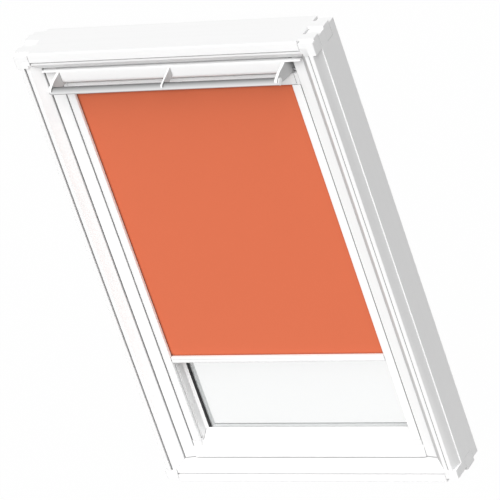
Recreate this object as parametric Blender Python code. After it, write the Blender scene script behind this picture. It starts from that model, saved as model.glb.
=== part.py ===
"""Centre-pivot roof window with a blackout roller blind.

X runs across the window, Z up its slope and -Y points into the room. The origin is the middle
of the sill's underside. Sizes are in metres.

Two measures place every section. "inset" counts inwards from the frame's outer face, and
"depth" counts from the frame's room side towards the roof.
"""
import bpy
import bmesh
from math import cos, pi, radians, sin
from mathutils import Matrix, Vector

# Frame
FRAME_WIDTH = 0.780
FRAME_HEIGHT = 1.178
FRAME_SECTION = 0.050
LIP_WIDTH = 0.0184
HEAD_LIP_WIDTH = 0.0232
GROOVE_WIDTH = 0.0035
GROOVE_DEPTH = 0.0070
LAND_SETBACK = 0.0030
BEVEL_SIZE = 0.0185
EDGE_CHAMFER = 0.0015
HEAD_FINGER_LENGTH = 0.0375
SILL_FINGER_LENGTH = 0.0315
HEAD_FINGER_DEPTHS = ((0.0105, 0.0340), (0.0626, 0.0900))
SILL_FINGER_DEPTHS = ((0.0500, 0.0880),)
SHOULDER_GAP = 0.0008
POST_TOP_SETBACK = 0.006
POST_FOOT_SETBACK = 0.009
POST_STEP_FRONT = 0.0085
POST_STEP_BACK = 0.0025
POST_STEP_DEPTH = 0.033
BACK_RIM = 0.007

# Outer cladding of folded sheet
COVER_DEPTH = 0.0142
COVER_WALL = 0.0015

# Sash
SASH_GAP = 0.0025
SASH_SETBACK = 0.0245
SASH_BACK_SETBACK = 0.0035
SASH_FACE_WIDTH = 0.0295
SASH_FACE_DROP = 0.0055
SASH_NOSE = 0.0012
SASH_MEMBER = 0.0545
STILE_LIP_WIDTH = 0.0068
STILE_LIP_DEPTH = 0.0052
RAIL_CREASE = 0.0010
SEAL_THICKNESS = 0.0010
SEAL_WIDTH = 0.006

# Glazing
GLASS_THICKNESS = 0.004
PANE_GAP = 0.012
GASKET_CLEARANCE = 0.0045
GASKET_THICKNESS = 0.0026
GASKET_PROUD = 0.0128
GASKET_EDGE_INSET = 0.006
GASKET_BOTTOM_COVER = 0.003
GLASS_COVER = 0.0095
SPACER_EDGE_INSET = 0.003
SPACER_BOTTOM_COVER = 0.004
SASH_COVER_HEIGHT = 0.008
SASH_COVER_LIP = 0.0030
SASH_COVER_LIP_THICKNESS = 0.0015

# Pivots and lock
PIVOT_PLATE_LENGTH = 0.090
PIVOT_PLATE_WIDTH = 0.024
PIVOT_PLATE_THICKNESS = 0.0025
PIVOT_PIN_RADIUS = 0.006
PIVOT_PIN_REACH = 0.016
PIVOT_BUSH_WALL = 0.0027
LOCK_LENGTH = 0.080
LOCK_WIDTH = 0.020
LOCK_HEIGHT = 0.018
LOCK_WALL = 0.0015
BOLT_LENGTH = 0.014
BOLT_WIDTH = 0.010
BOLT_TRAVEL = 0.006
STRIKER_THICKNESS = 0.0017

# Ventilation flap and its bar
FLAP_SETBACK = 0.012
FLAP_THICKNESS = 0.021
FLAP_HEIGHT = 0.0355
FLAP_TOP_GAP = 0.0010
FLAP_WALL = 0.0025
FLAP_TOP_RADIUS = 0.003
FLAP_BOTTOM_RADIUS = 0.012
FLAP_LEDGE_CLEARANCE = 0.0005
FLAP_SEAL_THICKNESS = 0.0021
FLAP_SEAL_HEIGHT = 0.005
FLAP_AXIS_BEHIND = 0.004
FLAP_AXIS_RISE = 0.0015
FLAP_PIN_RADIUS = 0.003
FLAP_PIN_SEAT = 0.010
BAR_RADIUS = 0.009
BAR_WALL = 0.0015
BAR_STANDOFF = 0.030
BAR_BELOW_FLAP_TOP = 0.027
BAR_CAP_THICKNESS = 0.002
BAR_CAP_NECK = 0.008
BRACKET_END_GAP = 0.0136
BRACKET_THICKNESS = 0.007
MIDDLE_BRACKET_THICKNESS = 0.0045
BRACKET_ARM = 0.0030
BRACKET_WEB_TOP = 0.003
SHOULDER_REACH = 0.004
SHOULDER_DROP = 0.0045
KNEE_REACH = 0.0301
KNEE_DROP = 0.0097
PIN_HOLE_WALL = 0.0015
SADDLE_TIP_FRONT = 130
SADDLE_FRONT = 165
SADDLE_BACK = -30
SADDLE_TIP_BACK = -36

# Blind
BLIND_SETBACK = 0.0323
CASING_BELOW_FLAP = 0.0095
CASING_WALL = 0.0016
CASING_RADIUS = 0.0025
CASING_END_WALL = 0.0021
FABRIC_THICKNESS = 0.0006
FABRIC_SLOT = 0.0040
CHANNEL_GAP = 0.0015
CHANNEL_WIDTH = 0.0224
CHANNEL_DEPTH = 0.0140
CHANNEL_LIP = 0.0072
CHANNEL_ROUND_WIDTH = 0.0080
CHANNEL_ROUND_DEPTH = 0.0035
CHANNEL_NOSE = 0.0007
CHANNEL_FOOT_HEIGHT = 0.015
FABRIC_CHANNEL_REACH = 0.011
FABRIC_SIDE_CLEARANCE = 0.002
ROLLER_RADIUS = 0.009
ROLLER_WALL = 0.001
ROLL_THICKNESS = 0.0026
ROLL_CLEARANCE = 0.00075
ROLL_BACK_CLEARANCE = 0.0010
PLUG_LENGTH = 0.020
PLUG_FLANGE = 0.003
GUDGEON_RADIUS = 0.004
GUDGEON_LENGTH = 0.012
MANDREL_RADIUS = 0.0022
MANDREL_LENGTH = 0.200
SPRING_CLEARANCE = 0.0017
SPRING_WIRE = 0.0007
SPRING_TURNS = 20
SPRING_PITCH = 0.008
BLIND_DROP = 0.720
BOTTOM_BAR_HEIGHT = 0.0160
BOTTOM_BAR_DEPTH = 0.0140
BOTTOM_BAR_RADIUS = 0.0030
BOTTOM_BAR_SIDE_GAP = 0.0010
BOTTOM_BAR_GROOVE = 0.0010
CLAMP_SLOT_DEPTH = 0.009
CLAMP_STRIP_THICKNESS = 0.0014
GLIDE_HEIGHT = 0.005
GLIDE_END_CLEARANCE = 0.003

# Clearances
SEAT = 0.0003
RUNNING = 0.0006
OVERSHOOT = 0.006
ROUND_STEPS = 24

# Worked out from the sizes above
HALF_WIDTH = FRAME_WIDTH / 2
SASH_INSET = FRAME_SECTION + SASH_GAP
FACE_INSET = SASH_INSET + SASH_FACE_WIDTH
FACE_DEPTH = SASH_SETBACK + SASH_FACE_DROP
OPENING_INSET = SASH_INSET + SASH_MEMBER
CHANNEL_INSET = FACE_INSET + CHANNEL_GAP
CHANNEL_FRONT = FACE_DEPTH + SEAT
CHANNEL_INNER = CHANNEL_INSET + CHANNEL_WIDTH
CHANNEL_BACK = CHANNEL_FRONT + CHANNEL_DEPTH
REBATE_FLOOR = CHANNEL_BACK + SEAT
GLASS_EDGE = OPENING_INSET - GLASS_COVER
GLASS_REBATE = GLASS_EDGE - 5 * SEAT
RAIL_FACE_INSET = FACE_INSET - SASH_NOSE / 2
FLAP_TOP_INSET = SASH_INSET + FLAP_TOP_GAP
FLAP_BOTTOM_INSET = FLAP_TOP_INSET + FLAP_HEIGHT
FLAP_BACK = FLAP_SETBACK + FLAP_THICKNESS
FLAP_AXIS_DEPTH = FLAP_BACK + FLAP_AXIS_BEHIND
FLAP_AXIS_INSET = FLAP_BOTTOM_INSET - FLAP_AXIS_RISE
TOP_RAIL_SETBACK = FLAP_BACK + FLAP_SEAL_THICKNESS + 2 * SEAT
PIN_HOLE_RADIUS = FLAP_PIN_RADIUS + SEAT
CHEEK_BACK = FLAP_AXIS_DEPTH + PIN_HOLE_RADIUS + PIN_HOLE_WALL
CHEEK_BOTTOM_INSET = FLAP_AXIS_INSET + PIN_HOLE_RADIUS + PIN_HOLE_WALL
BRACKET_CENTRE = HALF_WIDTH - FACE_INSET - BRACKET_END_GAP
BAR_CENTRE_DEPTH = -BAR_STANDOFF
BAR_CENTRE_INSET = FLAP_TOP_INSET + BAR_BELOW_FLAP_TOP
SLOT_FRONT = CHANNEL_FRONT + CHANNEL_LIP
FABRIC_DEPTH = SLOT_FRONT + FABRIC_SLOT / 2
FABRIC_FRONT = FABRIC_DEPTH - FABRIC_THICKNESS / 2
FABRIC_BACK = FABRIC_DEPTH + FABRIC_THICKNESS / 2
FABRIC_EDGE = CHANNEL_INNER - FABRIC_CHANNEL_REACH
CHANNEL_SLOT_REACH = FABRIC_CHANNEL_REACH + FABRIC_SIDE_CLEARANCE
GLIDE_REACH = CHANNEL_SLOT_REACH - GLIDE_END_CLEARANCE
CLAMP_SLOT = FABRIC_THICKNESS + CLAMP_STRIP_THICKNESS + 2 * SEAT + RUNNING
ROLL_RADIUS = ROLLER_RADIUS + SEAT + ROLL_THICKNESS
ROLLER_DEPTH = FABRIC_BACK + SEAT + ROLL_RADIUS
ROLLER_BORE = ROLLER_RADIUS - ROLLER_WALL
SPRING_RADIUS = ROLLER_BORE - SPRING_WIRE - SPRING_CLEARANCE
CASING_INSET = FLAP_BOTTOM_INSET + CASING_BELOW_FLAP
ROLLER_INSET = CASING_INSET + CASING_WALL + ROLL_CLEARANCE + ROLL_RADIUS
CASING_BOTTOM = ROLLER_INSET + ROLL_RADIUS + ROLL_CLEARANCE + CASING_WALL
CASING_BACK = ROLLER_DEPTH + ROLL_RADIUS + ROLL_BACK_CLEARANCE + CASING_WALL
CASING_END_INSET = FABRIC_EDGE - RUNNING - SEAT
GASKET_FRONT = CASING_BACK + GASKET_CLEARANCE
GASKET_BACK = GASKET_FRONT + GASKET_THICKNESS
GLASS_SEAT = GASKET_FRONT - SEAT
INNER_PANE_FRONT = GASKET_BACK + SEAT
INNER_PANE_BACK = INNER_PANE_FRONT + GLASS_THICKNESS
OUTER_PANE_FRONT = INNER_PANE_BACK + PANE_GAP
SASH_BACK = OUTER_PANE_FRONT + GLASS_THICKNESS + 2 * SEAT
PIVOT_DEPTH = (SASH_SETBACK + SASH_BACK) / 2
PIVOT_HEIGHT = FRAME_HEIGHT / 2
COVER_SEAT = SASH_BACK + SASH_BACK_SETBACK
COVER_EDGE_INSET = BACK_RIM + SEAT
FRAME_DEPTH = COVER_SEAT + SEAT + COVER_DEPTH
FRONT_Y = -FRAME_DEPTH / 2
LAND_END = FRAME_SECTION - BEVEL_SIZE
BOTTOM_BAR_TOP = FRAME_HEIGHT - CASING_BOTTOM - BLIND_DROP
BOTTOM_BAR_BASE = BOTTOM_BAR_TOP - BOTTOM_BAR_HEIGHT


def clear_scene():
    """Remove the objects that the file opened with."""
    for item in list(bpy.data.objects):
        bpy.data.objects.remove(item, do_unlink=True)


def depth_y(depth):
    """Y of a depth counted from the frame's room side."""
    return FRONT_Y + depth


def side_x(inset, side):
    """X of an inset from the outer face on one side, -1 left and +1 right."""
    return side * (HALF_WIDTH - inset)


def top_z(inset):
    """Z of an inset from the frame's top."""
    return FRAME_HEIGHT - inset


def finish(name, color, roughness=0.4, metallic=0.0, alpha=1.0):
    """A plain finish for one kind of surface."""
    material = bpy.data.materials.get(name)
    if material is None:
        material = bpy.data.materials.new(name)
        material.use_nodes = True
        shader = material.node_tree.nodes["Principled BSDF"]
        shader.inputs["Base Color"].default_value = (*color, 1.0)
        shader.inputs["Roughness"].default_value = roughness
        shader.inputs["Metallic"].default_value = metallic
        shader.inputs["Alpha"].default_value = alpha
    return material


def lacquer():
    return finish("white_lacquer", (0.87, 0.87, 0.87), 0.38)


def cladding():
    return finish("cladding", (0.62, 0.63, 0.65), 0.45, 0.4)


def steel():
    return finish("zinc_steel", (0.60, 0.61, 0.62), 0.35, 0.9)


def rubber():
    return finish("black_rubber", (0.03, 0.03, 0.03), 0.7)


def white_plastic():
    return finish("white_plastic", (0.84, 0.84, 0.84), 0.45)


def white_aluminium():
    return finish("white_aluminium", (0.84, 0.84, 0.85), 0.35, 0.1)


def satin_aluminium():
    return finish("satin_aluminium", (0.70, 0.71, 0.73), 0.3, 0.95)


def orange_fabric():
    return finish("orange_fabric", (0.73, 0.17, 0.08), 0.85)


def add_object(name, mesh_data, material):
    """Turn a bmesh into a named object whose faces point outwards."""
    bmesh.ops.recalc_face_normals(mesh_data, faces=mesh_data.faces)
    mesh = bpy.data.meshes.new(name)
    mesh_data.to_mesh(mesh)
    mesh_data.free()
    item = bpy.data.objects.new(name, mesh)
    bpy.context.scene.collection.objects.link(item)
    if material is None:
        item.hide_render = True
        item.display_type = "WIRE"
    else:
        mesh.materials.append(material)
        mesh.shade_smooth()
        mesh.set_sharp_from_angle(angle=radians(35))
    return item


def place(axis, u, v, along):
    """A point of a flat outline, swept along one axis: X takes (y, z), Y (x, z), Z (x, y)."""
    if axis == "X":
        return Vector((along, u, v))
    if axis == "Y":
        return Vector((u, along, v))
    return Vector((u, v, along))


def prism(name, outline, axis, start, end, material):
    """Extrude a flat outline along an axis."""
    data = bmesh.new()
    near = [data.verts.new(place(axis, u, v, start)) for u, v in outline]
    far = [data.verts.new(place(axis, u, v, end)) for u, v in outline]
    data.faces.new(near)
    data.faces.new(list(reversed(far)))
    count = len(outline)
    for i in range(count):
        j = (i + 1) % count
        data.faces.new((near[i], near[j], far[j], far[i]))
    return add_object(name, data, material)


def block(name, low, high, material):
    """A box between two corners."""
    outline = [(low[0], low[1]), (high[0], low[1]), (high[0], high[1]), (low[0], high[1])]
    return prism(name, outline, "Z", low[2], high[2], material)


def ring(name, section, material, bottom_section=None):
    """Carry a closed (inset, depth) section round the window with mitred corners.

    The bottom leg has bottom_section's insets, where one is given.
    """
    data = bmesh.new()
    loops = []
    for side, upper in ((-1, False), (1, False), (1, True), (-1, True)):
        loop = []
        for (inset, depth), (bottom_inset, _) in zip(section, bottom_section or section):
            height = top_z(inset) if upper else bottom_inset
            loop.append(data.verts.new((side_x(inset, side), depth_y(depth), height)))
        loops.append(loop)
    count = len(section)
    for i, loop in enumerate(loops):
        following = loops[(i + 1) % 4]
        for j in range(count):
            k = (j + 1) % count
            data.faces.new((loop[j], loop[k], following[k], following[j]))
    return add_object(name, data, material)


def turned(name, profile, centre, material):
    """Turn a closed (along, radius) profile round the X axis through centre.

    A profile that starts and ends on the axis is solid. Any other is a tube.
    """
    data = bmesh.new()
    solid = profile[0][1] == 0.0 and profile[-1][1] == 0.0
    rows = []
    for along, radius in profile:
        if radius == 0.0:
            spots = [(0.0, 0.0)]
        else:
            angles = [2 * pi * i / ROUND_STEPS for i in range(ROUND_STEPS)]
            spots = [(radius * cos(angle), radius * sin(angle)) for angle in angles]
        rows.append([data.verts.new(Vector(centre) + Vector((along, u, v))) for u, v in spots])
    pairs = list(zip(rows, rows[1:]))
    if not solid:
        pairs.append((rows[-1], rows[0]))
    for first, second in pairs:
        for i in range(ROUND_STEPS):
            j = (i + 1) % ROUND_STEPS
            if len(first) == 1:
                data.faces.new((first[0], second[j], second[i]))
            elif len(second) == 1:
                data.faces.new((first[i], first[j], second[0]))
            else:
                data.faces.new((first[i], first[j], second[j], second[i]))
    return add_object(name, data, material)


def tube_profile(half, bore, radius):
    """The profile of a plain tube that reaches half its length to each side of its centre."""
    return [(-half, bore), (-half, radius), (half, radius), (half, bore)]


def rod(name, centre, start, end, radius, material):
    """A solid cylinder along X, from start to end as measured from centre."""
    profile = [(start, 0.0), (start, radius), (end, radius), (end, 0.0)]
    return turned(name, profile, centre, material)


def carve(item, cutter, operation="DIFFERENCE"):
    """Cut, join or intersect an object with another."""
    modifier = item.modifiers.new(cutter.name, "BOOLEAN")
    modifier.object = cutter
    modifier.operation = operation
    modifier.solver = "EXACT"
    return item


def arc(centre_u, centre_v, radius, start_deg, end_deg, steps=6):
    """Points of an arc, both ends included."""
    points = []
    for i in range(steps + 1):
        angle = radians(start_deg + (end_deg - start_deg) * i / steps)
        points.append((centre_u + radius * cos(angle), centre_v + radius * sin(angle)))
    return points


def at_depth(outline):
    """Turn (depth, z) points into (y, z) points."""
    return [(depth_y(depth), z) for depth, z in outline]


def side_name(stem, side):
    return stem + ("_left" if side < 0 else "_right")


def across(inset):
    """The X of both ends of a piece that spans the window between equal insets."""
    return side_x(inset, -1), side_x(inset, 1)


def frame_section(lip_width):
    """The frame's (inset, depth) section: lip, groove, land, splayed inner edge and back rim."""
    groove_end = lip_width + GROOVE_WIDTH
    return [
        (0.0, EDGE_CHAMFER),
        (EDGE_CHAMFER, 0.0),
        (lip_width, 0.0),
        (lip_width, GROOVE_DEPTH),
        (groove_end, GROOVE_DEPTH),
        (groove_end, LAND_SETBACK),
        (LAND_END, LAND_SETBACK),
        (FRAME_SECTION, LAND_SETBACK + BEVEL_SIZE),
        (FRAME_SECTION, COVER_SEAT),
        (BACK_RIM, COVER_SEAT),
        (BACK_RIM, FRAME_DEPTH),
        (0.0, FRAME_DEPTH),
    ]


def finger_length(upper):
    """How far the comb joint of the head or the sill reaches from the frame's corner."""
    return HEAD_FINGER_LENGTH if upper else SILL_FINGER_LENGTH


def corner_box(name, side, upper, depths, spare_x, spare_z=0.0):
    """A box over one corner of the frame, as far as its comb joint reaches, between two depths."""
    reach_x = finger_length(upper) + spare_x
    reach_z = finger_length(upper) + spare_z
    z_pair = (top_z(reach_z), top_z(-OVERSHOOT)) if upper else (reach_z, -OVERSHOOT)
    return sorted_block(name, (side_x(-OVERSHOOT, side), depth_y(depths[0]), z_pair[0]),
                        (side_x(reach_x, side), depth_y(depths[1]), z_pair[1]))


def finger_boxes(name, side, upper, clearance):
    """The comb fingers of a head or sill where they pass through a post, one box each."""
    depths = HEAD_FINGER_DEPTHS if upper else SILL_FINGER_DEPTHS
    return [
        corner_box(f"{name}_{index}", side, upper, (near - clearance, far + clearance),
                   OVERSHOOT / 3, clearance)
        for index, (near, far) in enumerate(depths)
    ]


def corner_plugs(name, side):
    """Fill the groove and land at a post's ends, where its front is one plain square."""
    depths = (-OVERSHOOT, GROOVE_DEPTH + OVERSHOOT)
    plugs = ring(name, rectangle(LIP_WIDTH / 2, LAND_END, SEAT, GROOVE_DEPTH + SEAT), None)
    corners = corner_box(f"{name}_foot", side, False, depths, OVERSHOOT)
    carve(corners, corner_box(f"{name}_top", side, True, depths, OVERSHOOT), "UNION")
    return carve(plugs, corners, "INTERSECT")


def build_post(side):
    """One upright of the frame, slotted for the fingers and stepped along its outer edge."""
    name = side_name("frame_post", side)
    post = ring(name, frame_section(LIP_WIDTH), lacquer())
    carve(post, corner_plugs(f"{name}_plug", side), "UNION")
    reach = FRAME_SECTION + OVERSHOOT
    outline = [
        (side_x(-OVERSHOOT, side), POST_FOOT_SETBACK),
        (side_x(SILL_FINGER_LENGTH, side), POST_FOOT_SETBACK),
        (side_x(SILL_FINGER_LENGTH, side), SILL_FINGER_LENGTH),
        (side_x(reach, side), reach),
        (side_x(reach, side), top_z(reach)),
        (side_x(HEAD_FINGER_LENGTH, side), top_z(HEAD_FINGER_LENGTH)),
        (side_x(HEAD_FINGER_LENGTH, side), top_z(POST_TOP_SETBACK)),
        (side_x(-OVERSHOOT, side), top_z(POST_TOP_SETBACK)),
    ]
    limits = (depth_y(-OVERSHOOT), depth_y(FRAME_DEPTH + OVERSHOOT))
    region = prism(f"{name}_region", outline, "Y", *limits, None)
    carve(post, region, "INTERSECT")
    for upper in (False, True):
        for box in finger_boxes(f"{name}_slot_{int(upper)}", side, upper, SEAT):
            carve(post, box)
    step = [
        (side_x(-OVERSHOOT, side), depth_y(-OVERSHOOT)),
        (side_x(POST_STEP_FRONT, side), depth_y(-OVERSHOOT)),
        (side_x(POST_STEP_FRONT, side), depth_y(0.0)),
        (side_x(POST_STEP_BACK, side), depth_y(POST_STEP_DEPTH)),
        (side_x(-OVERSHOOT, side), depth_y(POST_STEP_DEPTH)),
    ]
    step_cutter = prism(f"{name}_step", step, "Z", SILL_FINGER_LENGTH, top_z(HEAD_FINGER_LENGTH), None)
    carve(post, step_cutter)
    pocket_low = (side_x(FRAME_SECTION - PIVOT_PLATE_THICKNESS - SEAT, side),
                  depth_y(PIVOT_DEPTH - PIVOT_PLATE_WIDTH / 2 - SEAT),
                  PIVOT_HEIGHT - PIVOT_PLATE_LENGTH / 2 - SEAT)
    pocket_high = (side_x(FRAME_SECTION + OVERSHOOT, side),
                   depth_y(PIVOT_DEPTH + PIVOT_PLATE_WIDTH / 2 + SEAT),
                   PIVOT_HEIGHT + PIVOT_PLATE_LENGTH / 2 + SEAT)
    carve(post, sorted_block(f"{name}_pocket", pocket_low, pocket_high))


def sorted_block(name, one, other):
    """A cutter box between any two opposite corners."""
    low = tuple(min(a, b) for a, b in zip(one, other))
    high = tuple(max(a, b) for a, b in zip(one, other))
    return block(name, low, high, None)


def build_cross_member(name, upper):
    """The frame's head or sill, with comb fingers at both ends."""
    member = ring(name, frame_section(HEAD_LIP_WIDTH if upper else LIP_WIDTH), lacquer())
    shoulder = finger_length(upper) + SHOULDER_GAP
    reach = FRAME_SECTION + OVERSHOOT
    slack = 2 * SEAT

    def z_of(inset):
        return top_z(inset) if upper else inset

    outline = [
        (side_x(shoulder, -1), z_of(-OVERSHOOT)),
        (side_x(shoulder, -1), z_of(shoulder - slack)),
        (side_x(reach + slack, -1), z_of(reach)),
        (side_x(reach + slack, 1), z_of(reach)),
        (side_x(shoulder, 1), z_of(shoulder - slack)),
        (side_x(shoulder, 1), z_of(-OVERSHOOT)),
    ]
    limits = (depth_y(-OVERSHOOT), depth_y(FRAME_DEPTH + OVERSHOOT))
    region = prism(f"{name}_region", outline, "Y", *limits, None)
    for side in (-1, 1):
        for box in finger_boxes(f"{side_name(name, side)}_finger", side, upper, 0.0):
            carve(region, box, "UNION")
    carve(member, region, "INTERSECT")
    return member


def build_frame():
    """Head, sill and posts of laminated wood."""
    head = build_cross_member("frame_head", True)
    build_cross_member("frame_sill", False)
    for side in (-1, 1):
        build_post(side)
    pocket = STRIKER_THICKNESS + SEAT
    half_length = LOCK_LENGTH / 2
    half_width = LOCK_WIDTH / 2
    carve(head, sorted_block(
        "striker_pocket",
        (-half_length - SEAT, depth_y(PIVOT_DEPTH - half_width - SEAT), top_z(FRAME_SECTION - pocket)),
        (half_length + SEAT, depth_y(PIVOT_DEPTH + half_width + SEAT), top_z(FRAME_SECTION + OVERSHOOT))))
    bolt_pocket = FRAME_SECTION - pocket - BOLT_TRAVEL
    carve(head, sorted_block(
        "bolt_pocket",
        (-BOLT_LENGTH / 2 - RUNNING, depth_y(PIVOT_DEPTH - BOLT_WIDTH / 2 - RUNNING), top_z(bolt_pocket)),
        (BOLT_LENGTH / 2 + RUNNING, depth_y(PIVOT_DEPTH + BOLT_WIDTH / 2 + RUNNING),
         top_z(FRAME_SECTION + OVERSHOOT))))


def cover_tray(inner_inset):
    """The open tray section of a frame cover, as (inset, depth) points."""
    base = COVER_SEAT + SEAT
    outer = COVER_EDGE_INSET
    crown = FRAME_DEPTH
    return [
        (outer, base),
        (outer, crown - EDGE_CHAMFER),
        (outer + EDGE_CHAMFER, crown),
        (inner_inset - EDGE_CHAMFER, crown),
        (inner_inset, crown - EDGE_CHAMFER),
        (inner_inset, base),
        (inner_inset - COVER_WALL, base),
        (inner_inset - COVER_WALL, crown - COVER_WALL - EDGE_CHAMFER / 2),
        (outer + COVER_WALL, crown - COVER_WALL - EDGE_CHAMFER / 2),
        (outer + COVER_WALL, base),
    ]


def build_frame_covers():
    """Folded sheet trays over the roof side of the frame."""
    inner = FRAME_SECTION - SASH_GAP / 2
    tray = cover_tray(inner)
    for name, upper in (("head_cover", True), ("sill_cover", False)):
        outline = [(depth_y(depth), top_z(inset) if upper else inset) for inset, depth in tray]
        prism(name, outline, "X", *across(COVER_EDGE_INSET), cladding())
    for side in (-1, 1):
        outline = [(side_x(inset, side), depth_y(depth)) for inset, depth in tray]
        prism(side_name("side_cover", side), outline, "Z", inner + SEAT, top_z(inner + SEAT), cladding())


def stile_outline(side):
    """The stile's section: sloped face, channel rebate, reveal, splayed lip and glazing rebate."""
    points = [
        (SASH_INSET, SASH_SETBACK + SASH_NOSE),
        (SASH_INSET + SASH_NOSE, SASH_SETBACK),
        (FACE_INSET, FACE_DEPTH),
        (FACE_INSET, REBATE_FLOOR),
        (OPENING_INSET, REBATE_FLOOR),
        (OPENING_INSET, GLASS_SEAT - STILE_LIP_DEPTH),
        (OPENING_INSET + STILE_LIP_WIDTH, GLASS_SEAT),
        (GLASS_REBATE, GLASS_SEAT),
        (GLASS_REBATE, SASH_BACK),
        (SASH_INSET, SASH_BACK),
    ]
    return [(side_x(inset, side), depth_y(depth)) for inset, depth in points]


def build_stile(side):
    """One upright of the sash, bored for its pivot and pocketed for the blind's end."""
    name = side_name("sash_stile", side)
    stile = prism(name, stile_outline(side), "Z", SASH_INSET, top_z(SASH_INSET), lacquer())
    half_width = PIVOT_PLATE_WIDTH / 2
    half_length = PIVOT_PLATE_LENGTH / 2
    carve(stile, sorted_block(
        f"{name}_plate_pocket",
        (side_x(SASH_INSET - OVERSHOOT, side), depth_y(PIVOT_DEPTH - half_width - SEAT),
         PIVOT_HEIGHT - half_length - SEAT),
        (side_x(SASH_INSET + PIVOT_PLATE_THICKNESS + 2 * SEAT, side),
         depth_y(PIVOT_DEPTH + half_width + SEAT), PIVOT_HEIGHT + half_length + SEAT)))
    bush = PIVOT_PIN_RADIUS + RUNNING + PIVOT_BUSH_WALL + SEAT
    centre = (side_x(0.0, side), depth_y(PIVOT_DEPTH), PIVOT_HEIGHT)
    bore_end = SASH_INSET + PIVOT_PIN_REACH + 2 * SEAT
    start, end = sorted((-side * SASH_INSET, -side * bore_end))
    carve(stile, rod(f"{name}_bore", centre, start, end, bush, None))
    carve(stile, sorted_block(
        f"{name}_blind_pocket",
        (side_x(CASING_END_INSET - CASING_END_WALL - 2 * SEAT, side), depth_y(REBATE_FLOOR - OVERSHOOT),
         top_z(CASING_BOTTOM + 2 * SEAT)),
        (side_x(OPENING_INSET + OVERSHOOT, side), depth_y(CASING_BACK + 2 * SEAT),
         top_z(CASING_INSET - 2 * SEAT))))
    pin_centre = (side_x(FACE_INSET, side), depth_y(FLAP_AXIS_DEPTH), top_z(FLAP_AXIS_INSET))
    start, end = sorted((-side * OVERSHOOT, side * (FLAP_PIN_SEAT + SEAT)))
    carve(stile, rod(f"{name}_pin_bore", pin_centre, start, end, PIN_HOLE_RADIUS, None))
    end_stile_lip(stile, side)


def end_stile_lip(stile, side):
    """Cut the stile's splayed lip off where the rails run past it."""
    lip_end = OPENING_INSET + STILE_LIP_WIDTH + OVERSHOOT
    lip_back = GLASS_SEAT + OVERSHOOT
    carve(stile, sorted_block(
        f"{stile.name}_lip_top",
        (side_x(OPENING_INSET, side), depth_y(REBATE_FLOOR), top_z(OPENING_INSET + SEAT)),
        (side_x(lip_end, side), depth_y(lip_back), top_z(SASH_INSET - OVERSHOOT))))
    outline = at_depth([
        (REBATE_FLOOR, SASH_INSET - OVERSHOOT),
        (lip_back, SASH_INSET - OVERSHOOT),
        (lip_back, rail_slope_inset(lip_back) + 2 * SEAT),
        (REBATE_FLOOR, rail_slope_inset(REBATE_FLOOR) + 2 * SEAT),
    ])
    ends = sorted((side_x(OPENING_INSET, side), side_x(lip_end, side)))
    carve(stile, prism(f"{stile.name}_lip_foot", outline, "X", *ends, None))


def build_top_rail():
    """The sash's top rail, set back behind the flap and the blind casing."""
    outline = at_depth([
        (TOP_RAIL_SETBACK, top_z(SASH_INSET)),
        (TOP_RAIL_SETBACK, top_z(CASING_INSET - RUNNING)),
        (CASING_BACK + RUNNING, top_z(CASING_INSET - RUNNING)),
        (CASING_BACK + RUNNING, top_z(OPENING_INSET)),
        (GLASS_SEAT, top_z(OPENING_INSET)),
        (GLASS_SEAT, top_z(GLASS_REBATE)),
        (SASH_BACK, top_z(GLASS_REBATE)),
        (SASH_BACK, top_z(SASH_INSET)),
    ])
    rail = prism("sash_top_rail", outline, "X", *across(OPENING_INSET + SEAT), lacquer())
    half_length = LOCK_LENGTH / 2
    half_width = LOCK_WIDTH / 2
    carve(rail, sorted_block(
        "lock_pocket",
        (-half_length - SEAT, depth_y(PIVOT_DEPTH - half_width - SEAT), top_z(SASH_INSET - OVERSHOOT)),
        (half_length + SEAT, depth_y(PIVOT_DEPTH + half_width + SEAT),
         top_z(SASH_INSET + LOCK_HEIGHT + 2 * SEAT))))


def rail_slope_inset(depth):
    """Height of the bottom rail's sloped top at a depth."""
    run = (OPENING_INSET - RAIL_FACE_INSET) / (GLASS_SEAT - FACE_DEPTH)
    return RAIL_FACE_INSET + (depth - FACE_DEPTH) * run


def build_bottom_rail():
    """The sash's bottom rail, whose top slopes down towards the room."""
    outline = at_depth([
        (SASH_SETBACK + SASH_NOSE, SASH_INSET),
        (SASH_SETBACK, SASH_INSET + SASH_NOSE),
        (FACE_DEPTH, RAIL_FACE_INSET - RAIL_CREASE),
        (FACE_DEPTH + RAIL_CREASE, RAIL_FACE_INSET - RAIL_CREASE / 2),
        (FACE_DEPTH + RAIL_CREASE, rail_slope_inset(FACE_DEPTH + RAIL_CREASE)),
        (GLASS_SEAT, OPENING_INSET),
        (GLASS_SEAT, GLASS_REBATE),
        (SASH_BACK, GLASS_REBATE),
        (SASH_BACK, SASH_INSET),
    ])
    rail = prism("sash_bottom_rail", outline, "X", *across(FACE_INSET + SEAT), lacquer())
    for side in (-1, 1):
        carve(rail, sorted_block(
            side_name("rail_shoulder", side),
            (side_x(FACE_INSET - OVERSHOOT, side), depth_y(REBATE_FLOOR - SEAT), SASH_INSET - OVERSHOOT),
            (side_x(OPENING_INSET + SEAT, side), depth_y(SASH_BACK + OVERSHOOT),
             OPENING_INSET + OVERSHOOT)))


def build_sash():
    """Stiles, rails and the seal round the sash."""
    for side in (-1, 1):
        build_stile(side)
    build_top_rail()
    build_bottom_rail()
    outer = SASH_INSET - SEAT - SEAL_THICKNESS
    front = TOP_RAIL_SETBACK + SEAL_WIDTH / 2
    ring("sash_seal", rectangle(outer, outer + SEAL_THICKNESS, front, front + SEAL_WIDTH), rubber())


def rectangle(inset_a, inset_b, depth_a, depth_b):
    """A rectangular (inset, depth) section."""
    return [(inset_a, depth_a), (inset_b, depth_a), (inset_b, depth_b), (inset_a, depth_b)]


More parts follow.
